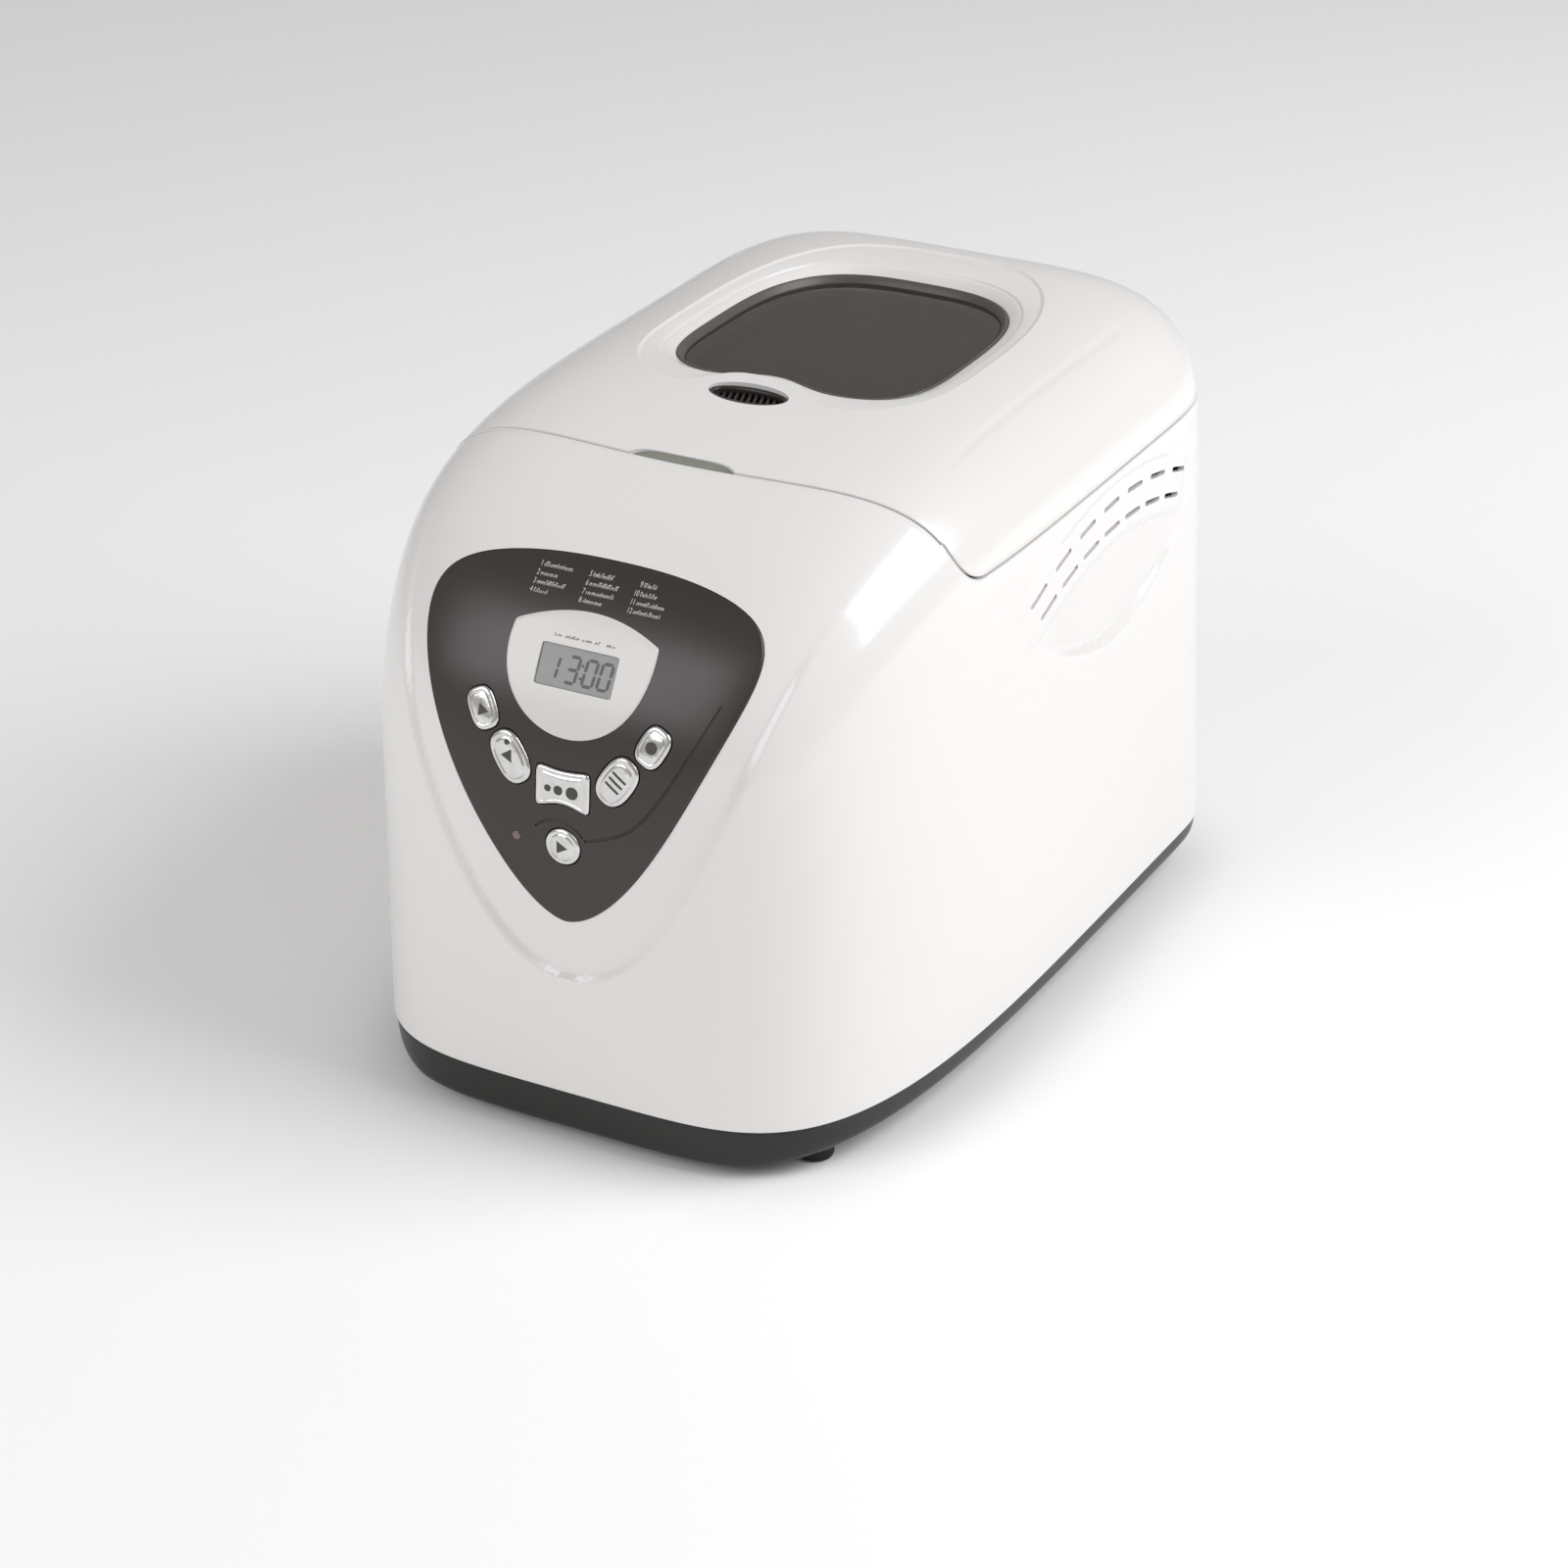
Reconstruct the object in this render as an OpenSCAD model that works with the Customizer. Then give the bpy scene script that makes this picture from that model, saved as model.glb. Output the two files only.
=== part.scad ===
// Bread machine: pearl white body on a black base, hinged lid with a window,
// shield-shaped control panel, baking chamber, removable pan and belt drive.
// Origin: middle of the footprint, on the surface under the feet. Front is -Y.

/* [Body] */
// Width over the side walls
body_w = 278; // [272:1:284]
// Distance from the middle of the footprint to the front face
body_front = 205; // [202:1:208]
// Height of the crown above the table
body_h = 300; // [297:1:304]
// Wall thickness of the plastic shells
wall = 3; // [2.5:0.5:3.5]
// Height of the line between the black base and the white body
base_top = 26; // [25:1:28]
// Height of the gap under the base
foot_h = 6; // [5:1:7]

/* [Lid] */
// Height of the lid's lower edge at the sides
seam_z = 247.5; // [247:0.5:248.5]
// Gap between the lid and the body
seam_gap = 0.8; // [0.6:0.1:1]
// Width of the window rim
window_w = 142; // [136:1:146]
// Length of the window rim
window_d = 163; // [156:1:166]
// Width of the oval steam vent
vent_w = 39; // [34:1:42]
// Outer diameter of the hinge knuckles
knuckle_d = 12; // [11:0.5:12]
// Diameter of the hinge pins
pin_d = 4; // [3:0.5:5]

/* [Control panel] */
// Greatest width of the dark panel
panel_w = 159; // [156:1:162]
// Height of the panel's upper edge
panel_top = 261; // [259:1:262]
// Height of the panel's lower tip
panel_tip = 112; // [108:1:116]
// How far the buttons stand out of the panel
button_proud = 2; // [1.5:0.25:2.5]
// Gap all round a button
button_gap = 0.4; // [0.35:0.05:0.6]

/* [Bread pan] */
// Width of the pan across the machine
pan_w = 168; // [160:1:170]
// Length of the pan from front to rear
pan_d = 148; // [140:1:152]
// Height of the pan's wall
pan_h = 120; // [110:1:122]
// Length of the handle's arms
handle_arm = 50; // [46:1:51]

/* [Drive] */
// Diameter of the drive shaft, the motor shaft and the paddle shaft
shaft_d = 8; // [7:1:9]
// Diameter of the large pulley
big_pulley_d = 96; // [90:2:100]
// Diameter of the small pulley
small_pulley_d = 22; // [20:1:24]
// Thickness of the belt
belt_t = 3; // [2:0.5:3.5]

/* [Hidden] */
$fn = 64;

// The outer form: rounded rectangles whose sides bend in towards the crown
low_half = body_w / 2;
top_half = low_half - 5;
rear_face = 199;
low_middle = 128;
top_middle = 72;
side_bend = 222;
front_bend = 140;
rear_bend = 254;
side_p = 3.4;
front_p = 3;
rear_p = 5;
front_n = 4.6;
rear_n = 5.5;
ring_points = 56;

// The seam: a shallow bow in front, a level line at the sides, a round corner between
seam_front = -101;
seam_bow = 606;
seam_corner_r = 20;
seam_corner_y = -68;

// The window, the vent and the pieces under the crown
window_y = 50;
window_dip = 9;
glass_z = 288;
glass_t = 3;
vent_y = -39;
liner_z = 274;
sheet = 1.2;

// Hinge axis
hinge_y = rear_face + button_proud;
hinge_z = seam_z;
hinge_x = 62;
plate_y = rear_face - wall - 4.6;
lid_barrel = 14;
body_barrel = 9.5;

// The panel and its buttons, set round the middle of the display
dial_z = 222;
dial_r = 46;
panel_t = 2.6;
board_tilt = 6;
board_y = -184;
board_z = 172;

// The chamber, the pan and the shafts share this axis
axis_y = 60;
deck_z = 244.5;
chassis_z = 44;
chamber_half = 103;
chamber_z = 60;
pan_z = 84;
handle_pivot_z = pan_z + pan_h - 7;
handle_x = pan_w / 2 + 7;
handle_wire = 5;
motor_y = -122;
belt_z = 25;
belt_h = 8;
belt_room = 0.15;
run_fit = 0.06;
foot_x = 98;
foot_y = 161;
post_spots = [for (sx = [-1, 1], y = [-118, 30, 160]) [sx * 106, y]];

function clamp1(u) = min(max(u, 0), 1);
function squircle(u, p) = pow(1 - pow(clamp1(u), p), 1 / p);
function signed_pow(v, e) = sign(v) * pow(abs(v), e);
function middle_y(z) =
    low_middle + (top_middle - low_middle) * clamp1((z - base_top) / (body_h - base_top));
function side_half(z) =
    low_half + (top_half - low_half) * clamp1((z - base_top) / (seam_z - base_top));

// Half the width, the front and the rear of the form at height z, held in by t
function form_half(z, t) =
    (side_half(z) - t) * squircle((z - side_bend) / (body_h - t - side_bend), side_p);
function form_front(z, t) = middle_y(z) + (t - body_front - middle_y(z))
    * squircle((z - front_bend) / (body_h - t - front_bend), front_p);
function form_rear(z, t) = middle_y(z) + (rear_face - t - middle_y(z))
    * squircle((z - rear_bend) / (body_h - t - rear_bend), rear_p);
function form_ring(z, t) = [for (i = [0 : ring_points - 1])
    let (a = 360 * i / ring_points, rear = sin(a) >= 0, e = 2 / (rear ? rear_n : front_n),
        m = middle_y(z), reach = rear ? form_rear(z, t) - m : m - form_front(z, t))
    [form_half(z, t) * signed_pow(cos(a), e), m + reach * signed_pow(sin(a), e), z]];
function form_heights(t) = concat(
    [base_top - t, 60, 100, front_bend, 160, 178, 194, 208, side_bend],
    [for (a = [14 : 9 : 86]) side_bend + (body_h - t - side_bend) * pow(sin(a), 2 / side_p)]);
// The front face at a place on the panel, held in by t
function face_y(x, z, t) = middle_y(z) - (middle_y(z) - form_front(z, t))
    * squircle(abs(x) / form_half(z, t), front_n);
// How far the place is inside the form: below 0 inside, above 0 outside
function form_depth(x, y, z, t) =
    let (m = middle_y(z), n = y < m ? front_n : rear_n,
        reach = y < m ? m - form_front(z, t) : form_rear(z, t) - m)
    pow(abs(x) / form_half(z, t), n) + pow(abs(y - m) / reach, n) - 1;
// Height of the crown over a place, found by halving
function crown_z(x, y, t, low, high, steps) = steps == 0 ? low : let (mid = (low + high) / 2)
    form_depth(x, y, mid, t) < 0 ? crown_z(x, y, t, mid, high, steps - 1)
        : crown_z(x, y, t, low, mid, steps - 1);

// A closed skin over a list of rings, from the lowest to the highest
module loft(rings) {
    n = len(rings[0]);
    m = len(rings);
    polyhedron(
        points = [for (r = rings) each r],
        faces = concat(
            [[for (i = [0 : n - 1]) i]],
            [for (k = [0 : m - 2], i = [0 : n - 1], half = [0, 1])
                let (j = (i + 1) % n, a = k * n)
                half == 0 ? [a + i, a + n + i, a + n + j] : [a + i, a + n + j, a + j]],
            [[for (i = [n - 1 : -1 : 0]) (m - 1) * n + i]]),
        convexity = 6);
}

module form(t = 0) {
    loft([for (z = form_heights(t)) form_ring(z, t)]);
}

// Space of the lid, held back by g from the seam
module lid_zone(g, lower = 0) {
    front = seam_front + seam_bow;
    corner_z = seam_z + seam_corner_r;
    difference() {
        translate([0, front, seam_z + g - lower]) cylinder(r = seam_bow - g, h = 100, $fn = 360);
        translate([-200, -200, seam_z + g - lower - 1]) difference() {
            cube([400, 200 + seam_corner_y, seam_corner_r + lower + 1 - g]);
            translate([-1, 200 + seam_corner_y, seam_corner_r + lower + 1 - g])
                rotate([0, 90, 0]) cylinder(r = seam_corner_r - g, h = 402);
        }
    }
}

module rounded(w, d, r) {
    square([w - 2 * r, d], center = true);
    square([w, d - 2 * r], center = true);
    for (sx = [-1, 1], sy = [-1, 1])
        translate([sx * (w / 2 - r), sy * (d / 2 - r)]) circle(r);
}

// Rounded window outline whose front edge dips in behind the vent; g widens it
function window_outline(g) = [for (i = [0 : 71])
    let (a = 5 * i, rear = sin(a) >= 0, e = 2 / (rear ? 3 : 3.8),
        x = (window_w / 2 + g) * signed_pow(cos(a), e),
        y = (window_d / 2 + (rear ? 9.5 : -9.5) + g) * signed_pow(sin(a), e))
    [x, window_y + y + (rear ? 0 : window_dip * exp(-pow(x / 20, 2)))]];
function oval(w, d) = [for (a = [0 : 10 : 350]) [w / 2 * cos(a), d / 2 * sin(a)]];

// Upside-down shield with round corners, drawn in a front view
function shield_half(z) = let (u = (z - panel_tip) / (panel_top - panel_tip))
    panel_w * 0.582 * pow(u, 0.587) * pow(1 - pow(u, 13), 0.418);
function shield_levels() = concat([for (k = [0 : 9]) panel_tip + 0.15 + k * k * 1.4],
    [for (a = [0 : 12 : 84]) panel_tip + (panel_top - panel_tip) * (0.83 + 0.17 * sin(a))]);
function shield(g) = let (z0 = (panel_top + panel_tip) / 2)
    concat([for (z = shield_levels()) [shield_half(z) + g, z]],
        [for (k = [len(shield_levels()) - 1 : -1 : 0])
            let (z = shield_levels()[k]) [-shield_half(z) - g, z]]);

// A prism along Y of an outline drawn in the front view
module through_front(points) {
    translate([0, -100, 0]) rotate([90, 0, 0]) linear_extrude(140) polygon(points);
}

// Curved slab behind the front face, from t_out to t_in below it
module front_slab(t_out, t_in, w = 176, low = 106, high = 266) {
    nx = 14;
    nz = 20;
    function at(i, k, t) = let (x = w * (i / nx - 0.5), z = low + (high - low) * k / nz)
        [x, face_y(x, z, 0) + t, z];
    side = (nx + 1) * (nz + 1);
    function id(i, k, s) = s * side + k * (nx + 1) + i;
    polyhedron(
        points = [for (t = [t_out, t_in], k = [0 : nz], i = [0 : nx]) at(i, k, t)],
        faces = concat(
            [for (k = [0 : nz - 1], i = [0 : nx - 1], h = [0, 1]) h == 0
                ? [id(i, k, 0), id(i + 1, k + 1, 0), id(i + 1, k, 0)]
                : [id(i, k, 0), id(i, k + 1, 0), id(i + 1, k + 1, 0)]],
            [for (k = [0 : nz - 1], i = [0 : nx - 1], h = [0, 1]) h == 0
                ? [id(i, k, 1), id(i + 1, k, 1), id(i + 1, k + 1, 1)]
                : [id(i, k, 1), id(i + 1, k + 1, 1), id(i, k + 1, 1)]],
            [for (i = [0 : nx - 1]) [id(i, 0, 0), id(i + 1, 0, 0), id(i + 1, 0, 1), id(i, 0, 1)]],
            [for (i = [0 : nx - 1])
                [id(i + 1, nz, 0), id(i, nz, 0), id(i, nz, 1), id(i + 1, nz, 1)]],
            [for (k = [0 : nz - 1]) [id(0, k + 1, 0), id(0, k, 0), id(0, k, 1), id(0, k + 1, 1)]],
            [for (k = [0 : nz - 1])
                [id(nx, k, 0), id(nx, k + 1, 0), id(nx, k + 1, 1), id(nx, k, 1)]]),
        convexity = 4);
}

// Buttons: angle round the display, distance, width, height and tilt of the face
function spot(angle, r) = [r * sin(angle), dial_z - r * cos(angle)];
function face_tilt(z) = atan((face_y(0, z + 2, 0) - face_y(0, z - 2, 0)) / 4);
side_angle = 64;
near_angle = 34.5;
start_drop = 73.6;

// Places a shape drawn with -Y outwards on the front face, turned in its own plane
module on_face(x, z, turn = 0) {
    translate([x, face_y(x, z, 0), z]) rotate([-face_tilt(z), 0, 0]) rotate([0, turn, 0])
        children();
}

function pad(w, h, n) = [for (a = [0 : 15 : 345])
    [w / 2 * signed_pow(cos(a), 2 / n), h / 2 * signed_pow(sin(a), 2 / n)]];
// Bow-tie outline: the sides are straight, the upper and lower edges are curved in
function bow_tie(w, h, g) = concat(
    [for (x = [-1 : 0.25 : 1]) [x * (w / 2 + g), -h / 2 - g + (1 - x * x) * 2.8]],
    [for (x = [1 : -0.25 : -1]) [x * (w / 2 + g), h / 2 + g - (1 - x * x) * 1.2]]);

module key(points, depth = 6) {
    translate([0, depth, 0]) rotate([90, 0, 0]) linear_extrude(depth + button_proud) polygon(points);
}

module side_key(side, g = 0, depth = 6) {
    p = spot(side * side_angle, dial_r);
    on_face(p[0], p[1], side * 27) key(pad(13.8 + 2 * g, 19 + 2 * g, 2.8), depth);
}

module near_key(side, g = 0, depth = 6) {
    p = spot(side * near_angle, dial_r);
    on_face(p[0], p[1], side * 34) key(pad(16.2 + 2 * g, 24.4 + 2 * g, 2.5), depth);
}

module middle_key(g = 0, depth = 6) {
    on_face(0, dial_z - dial_r - 1) key(bow_tie(26.5, 18.5, g), depth);
}

module start_key(g = 0, depth = 6) {
    on_face(0, dial_z - start_drop) rotate([90, 0, 0]) translate([0, 0, -depth])
        cylinder(d = 17 + 2 * g, h = depth + button_proud);
}

module light_spot(g = 0, depth = 6) {
    on_face(-23, dial_z - start_drop) rotate([90, 0, 0]) translate([0, 0, -depth])
        cylinder(d = 4 + 2 * g, h = depth + 1);
}

module all_keys(g, depth) {
    for (side = [-1, 1]) {
        side_key(side, g, depth);
        near_key(side, g, depth);
    }
    middle_key(g, depth);
    start_key(g, depth);
}

// Stem that carries a button's push to its switch
module stem(depth) {
    rotate([-90, 0, 0]) cylinder(d = 5, h = depth);
}

// Vent slots in two rows on an arch round (arch_y, arch_z) in the side view
arch_y = 62;
arch_z = -4;
arch_r = 239;
module side_slots() {
    for (row = [0, 1], k = [0 : 6], side = [-1, 1])
        translate([0, arch_y, arch_z])
            rotate([20.4 - 1.6 * row - k * (6.3 - 0.5 * row), 0, 0])
                translate([side * (low_half - 4), 0, arch_r - 12 * row])
                    cube([16, 17, 2.4], center = true);
}

// Hinge barrels at both hinges: spans along X of the lid's and of the body's knuckles
module barrels(d, spans) {
    for (side = [-1, 1], s = spans)
        translate([side * hinge_x + s[0], hinge_y, hinge_z]) rotate([0, 90, 0])
            cylinder(d = d, h = s[1] - s[0]);
}
lid_spans = [[-lid_barrel / 2, lid_barrel / 2]];
body_spans = [[-lid_barrel / 2 - 0.5 - body_barrel, -lid_barrel / 2 - 0.5],
    [lid_barrel / 2 + 0.5, lid_barrel / 2 + 0.5 + body_barrel]];
lid_room = [[-lid_barrel / 2 - 0.5, lid_barrel / 2 + 0.5]];

module body_shell() color("white") {
    difference() {
        form();
        form(wall);
        lid_zone(-seam_gap / 2);
        through_front(shield(0.3));
        side_slots();
        barrels(knuckle_d, body_spans);
        barrels(knuckle_d + 1.2, lid_room);
        lugs(body_spans, -3, 0);
        gland_hole();
    }
}

module base_tray() color("#24221e") {
    difference() {
        loft([for (s = tray_steps) tray_ring(foot_h + s[0], s[1])]);
        difference() {
            under_sides(0);
            at_feet() cylinder(d = 19, h = 20);
        }
        difference() {
            loft([for (s = tray_steps) tray_ring(foot_h + s[0] + tray_floor, s[1] + wall)]);
            under_sides(tray_floor);
        }
        at_feet() cylinder(d = 8, h = 20);
        for (k = [-4 : 4]) translate([k * 12 - 2, axis_y - 30, 0]) cube([4, 60, 12]);
    }
    for (p = post_spots) translate([p[0], p[1], post_low]) difference() {
        cylinder(d = 11, h = chassis_z - post_low);
        translate([0, 0, 9]) cylinder(d = 3, h = 40);
    }
}
// Steps of the base's rounded edge: height above its underside and inset
tray_steps = [[0, 3.6], [2.5, 2.2], [8, 1.1], [base_top - foot_h, 0.5]];
tray_floor = 2.5;
post_low = 11.2;

// Space under the base where its underside slopes up towards the sides
slope_start = 85;
slope_width = 60;
slope_rise = 11.1;
module under_sides(up) {
    for (m = [0, 1]) mirror([m, 0, 0]) rotate([90, 0, 0])
        linear_extrude(2.2 * body_front, center = true) polygon([
            [slope_start, -5], [slope_start + slope_width, -5],
            [slope_start + slope_width, foot_h + up + slope_rise], [slope_start, foot_h + up]]);
}
module at_feet() {
    for (sx = [-1, 1], sy = [-1, 1]) translate([sx * foot_x, sy * foot_y, 0]) children();
}
function tray_ring(z, t) = [for (p = form_ring(base_top, t)) [p[0], p[1], z]];

module foot(sx, sy) color("#1c1b19") {
    translate([sx * foot_x, sy * foot_y, 0]) {
        cylinder(d = 17, h = foot_h);
        cylinder(d = 8, h = foot_h + tray_floor);
    }
}
module foot_front_left() foot(-1, -1);
module foot_front_right() foot(1, -1);
module foot_rear_left() foot(-1, 1);
module foot_rear_right() foot(1, 1);

// Outline of the light ring round the display: a disc under a flatter arch
bezel_r = 35;
bezel_z = 232.3;
bezel_top = 245;
bezel_outline = [for (a = [0 : 7.5 : 352.5])
    [bezel_r * cos(a), min(bezel_z + bezel_r * sin(a), bezel_top - 7 * pow(cos(a), 2))]];

module display_opening(g) {
    on_face(0, 224.5) cube([38.5 + g, 30, 19 + g], center = true);
}

module control_panel() color("#3a3330") {
    difference() {
        intersection() {
            front_slab(-0.4, panel_t);
            through_front(shield(0));
        }
        display_opening(1);
        all_keys(button_gap, 12);
        light_spot(0, 12);
    }
}

module display_bezel() color("#e0dbd8") {
    difference() {
        intersection() {
            front_slab(-1.6, -0.4);
            through_front(bezel_outline);
        }
        display_opening(0);
    }
}

module lcd_display() color("#8a8a88") {
    on_face(0, 224.5) {
        translate([0, panel_t + 3.5, 0]) cube([44, 4, 26], center = true);
        translate([0, 2.5, 0]) cube([37.5, 3.2, 18], center = true);
    }
}

module button_time_up() color("silver") {
    side_key(-1);
    p = spot(-side_angle, dial_r);
    on_face(p[0], p[1]) translate([0, 5, 0]) stem(4);
}
module button_time_down() color("silver") {
    near_key(-1);
    p = spot(-near_angle, dial_r);
    on_face(p[0], p[1]) translate([0, 5, 0]) stem(4);
}
module button_loaf_size() color("silver") {
    middle_key();
    on_face(0, dial_z - dial_r - 1) translate([0, 5, 0]) stem(4);
}
module button_menu() color("silver") {
    near_key(1);
    p = spot(near_angle, dial_r);
    on_face(p[0], p[1]) translate([0, 5, 0]) stem(4);
}
module button_crust() color("silver") {
    side_key(1);
    p = spot(side_angle, dial_r);
    on_face(p[0], p[1]) translate([0, 5, 0]) stem(4);
}
module button_start() color("silver") {
    start_key();
    on_face(0, dial_z - start_drop) translate([0, 5, 0]) stem(4);
}
module indicator_light() color("#5c4a44") {
    light_spot(0, 8);
}

module board_place() {
    translate([0, board_y, board_z]) rotate([-board_tilt, 0, 0]) children();
}

module control_board() color("darkgreen") {
    board_place() translate([0, 0.8, 0]) cube([118, 1.6, 78], center = true);
}

// One switch behind each button, just clear of the stem at full travel
switch_spots = [[0, dial_z - start_drop], [0, dial_z - dial_r - 1], spot(near_angle, dial_r),
    spot(-near_angle, dial_r), spot(side_angle, dial_r), spot(-side_angle, dial_r)];
module board_switches() color("#333333") {
    intersection() {
        union() for (p = switch_spots) on_face(p[0], p[1]) translate([0, 10.5, 0])
            translate([-3, 0, -3]) cube([6, 30, 6]);
        board_place() translate([-80, -30, -80]) cube([160, 30, 160]);
    }
}

module chamber_outline(g) {
    translate([0, axis_y]) rounded(2 * (chamber_half + g), 2 * (chamber_half + g), 30 + g);
}

module top_deck() color("#f2f2f0") {
    difference() {
        intersection() {
            form(wall + 0.3);
            difference() {
                translate([0, seam_front + seam_bow, deck_z - 2.5])
                    cylinder(r = seam_bow + 3, h = 60, $fn = 360);
                translate([0, seam_front + seam_bow, deck_z])
                    cylinder(r = seam_bow + 0.6, h = 61, $fn = 360);
            }
        }
        translate([0, 0, 200]) linear_extrude(100) chamber_outline(0.5);
        for (side = [-1, 1]) translate([side * hinge_x - 18, 188, 200]) cube([36, 20, 60]);
    }
}

module oven_chamber() color("#b9bbbd") {
    difference() {
        union() {
            translate([0, 0, chamber_z]) linear_extrude(deck_z - chamber_z) chamber_outline(0);
            translate([0, 0, deck_z]) linear_extrude(sheet) chamber_outline(5);
        }
        translate([0, 0, chamber_z + sheet]) linear_extrude(200) chamber_outline(-sheet);
        translate([0, axis_y, 0]) cylinder(d = 22, h = 100);
        for (sx = [-1, 1]) translate([sx * element_leg_x, axis_y - chamber_half + 10, element_z])
            rotate([90, 0, 0]) cylinder(d = 10, h = 30);
        translate([60, axis_y - chamber_half + 10, 120]) rotate([90, 0, 0]) cylinder(d = 7, h = 30);
    }
}

module chamber_stands() color("#a7a9ab") {
    for (sx = [-1, 1], sy = [-1, 1]) translate([sx * 80, axis_y + sy * 80, chassis_z + 2]) {
        cylinder(d = 12, h = chamber_z - chassis_z - 2);
        translate([-11, -7, 0]) cube([22, 14, 1.5]);
    }
}

// The element: a loop round the pan that is open in front, where its legs leave
element_z = 92;
element_x = 92;
element_reach = 86;
element_leg_x = 18;
element_d = 6.5;
element_bend = 22;
module rod(from, to, d) {
    v = to - from;
    translate(from) rotate([0, acos(v[2] / norm(v)), atan2(v[1], v[0])])
        cylinder(d = d, h = norm(v));
}
module elbow(x, y, start, r, d) {
    translate([x, y, element_z]) rotate([0, 0, start]) rotate_extrude(angle = 90)
        translate([r, 0]) circle(d = d);
}
module heating_element() color("#6e6a66") {
    b = element_bend;
    z = element_z;
    front = axis_y - element_reach;
    back = axis_y + element_reach;
    leg_bend = 10;
    for (s = [-1, 1]) {
        rod([s * element_x, front + b, z], [s * element_x, back - b, z], element_d);
        rod([s * (element_x - b), front, z], [s * (element_leg_x + leg_bend), front, z], element_d);
        rod([s * element_leg_x, front - leg_bend, z], [s * element_leg_x, -64, z], element_d);
    }
    rod([-element_x + b, back, z], [element_x - b, back, z], element_d);
    elbow(element_x - b, back - b, 0, b, element_d);
    elbow(-element_x + b, back - b, 90, b, element_d);
    elbow(-element_x + b, front + b, 180, b, element_d);
    elbow(element_x - b, front + b, 270, b, element_d);
    elbow(element_leg_x + leg_bend, front - leg_bend, 90, leg_bend, element_d);
    elbow(-element_leg_x - leg_bend, front - leg_bend, 0, leg_bend, element_d);
}

module element_bushes() color("#e8e4da") {
    for (sx = [-1, 1]) translate([sx * element_leg_x, axis_y - chamber_half - 9, element_z])
        rotate([-90, 0, 0]) difference() {
            union() {
                cylinder(d = 14, h = 9);
                cylinder(d = 10, h = 9 + sheet);
            }
            translate([0, 0, -1]) cylinder(d = element_d, h = 20);
        }
}

module temperature_sensor() color("#c9cbcc") {
    translate([60, axis_y - chamber_half - 6, 120]) rotate([-90, 0, 0]) {
        cylinder(d = 12, h = 6);
        cylinder(d = 7, h = 26);
    }
}

module pan_socket() color("#8f9194") {
    translate([0, axis_y, chamber_z + sheet]) difference() {
        union() {
            cylinder(d = 134, h = 1.5);
            cylinder(d = 124, h = 10);
        }
        translate([0, 0, -1]) cylinder(d = 119, h = 20);
    }
}

module pan_clips() color("#c4c6c8") {
    for (turn = [0, 180]) translate([0, axis_y, chamber_z + sheet + 1.5]) rotate([0, 0, turn]) {
        translate([62.2, -9, 0]) cube([5, 18, 1.5]);
        translate([62.2, -9, 0]) cube([1.5, 18, 16]);
        translate([59, -9, 12]) cube([4.7, 18, 2]);
    }
}

module pan_outline(g) {
    translate([0, axis_y]) rounded(pan_w + 2 * g, pan_d + 2 * g, 28 + g);
}

module bread_pan() color("#4a4a4c") {
    difference() {
        union() {
            translate([0, 0, pan_z]) linear_extrude(pan_h) pan_outline(0);
            translate([0, 0, pan_z + pan_h - 2]) linear_extrude(2) pan_outline(4);
        }
        translate([0, 0, pan_z + 2]) linear_extrude(pan_h) pan_outline(-2);
        translate([0, axis_y, pan_z - 1]) cylinder(d = 20, h = 10);
    }
}

module pan_skirt() color("#77797b") {
    translate([0, axis_y, chamber_z + sheet + 0.6]) difference() {
        cylinder(d = 116, h = pan_z - chamber_z - sheet - 0.6);
        translate([0, 0, -1]) cylinder(d = 112, h = 40);
        for (a = [45 : 90 : 315]) rotate([0, 0, a]) translate([40, -12, -1]) cube([30, 24, 12]);
    }
}

module handle_ears() color("#8f9194") {
    for (s = [-1, 1]) translate([s * pan_w / 2, axis_y, handle_pivot_z]) rotate([0, s * 90, 0]) {
        cylinder(d = 9.6, h = 3);
        cylinder(d = 4, h = 10.5);
        translate([0, 0, 10.5]) cylinder(d = 7, h = 1.5);
    }
}

// The bail lies back over the rim: its arms rise from the pivots at this angle
handle_rest = 17;
module pan_handle() color("#9a9c9e") {
    bend = 9;
    straight = handle_arm - bend;
    translate([0, axis_y, handle_pivot_z]) rotate([handle_rest, 0, 0]) {
        for (s = [-1, 1]) {
            translate([s * handle_x, 0, 0]) difference() {
                union() {
                    rotate([0, 90, 0]) cylinder(d = 9, h = handle_wire + 1, center = true);
                    translate([0, 3, 0]) rotate([-90, 0, 0])
                        cylinder(d = handle_wire, h = straight - 3);
                }
                rotate([0, 90, 0]) cylinder(d = 4 + 2 * run_fit, h = 20, center = true);
            }
            translate([s * (handle_x - bend), straight, 0]) rotate([0, 0, s > 0 ? 0 : 90])
                rotate_extrude(angle = 90) translate([bend, 0]) circle(d = handle_wire);
        }
        translate([bend - handle_x, handle_arm, 0]) rotate([0, 90, 0])
            cylinder(d = handle_wire, h = 2 * (handle_x - bend));
    }
}

module pan_bush() color("#b08d57") {
    translate([0, axis_y, 0]) difference() {
        union() {
            translate([0, 0, pan_z - 4]) cylinder(d = 30, h = 4);
            translate([0, 0, pan_z - 4]) cylinder(d = 20, h = 12);
        }
        cylinder(d = shaft_d + 2 * run_fit, h = 200);
    }
}

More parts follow.
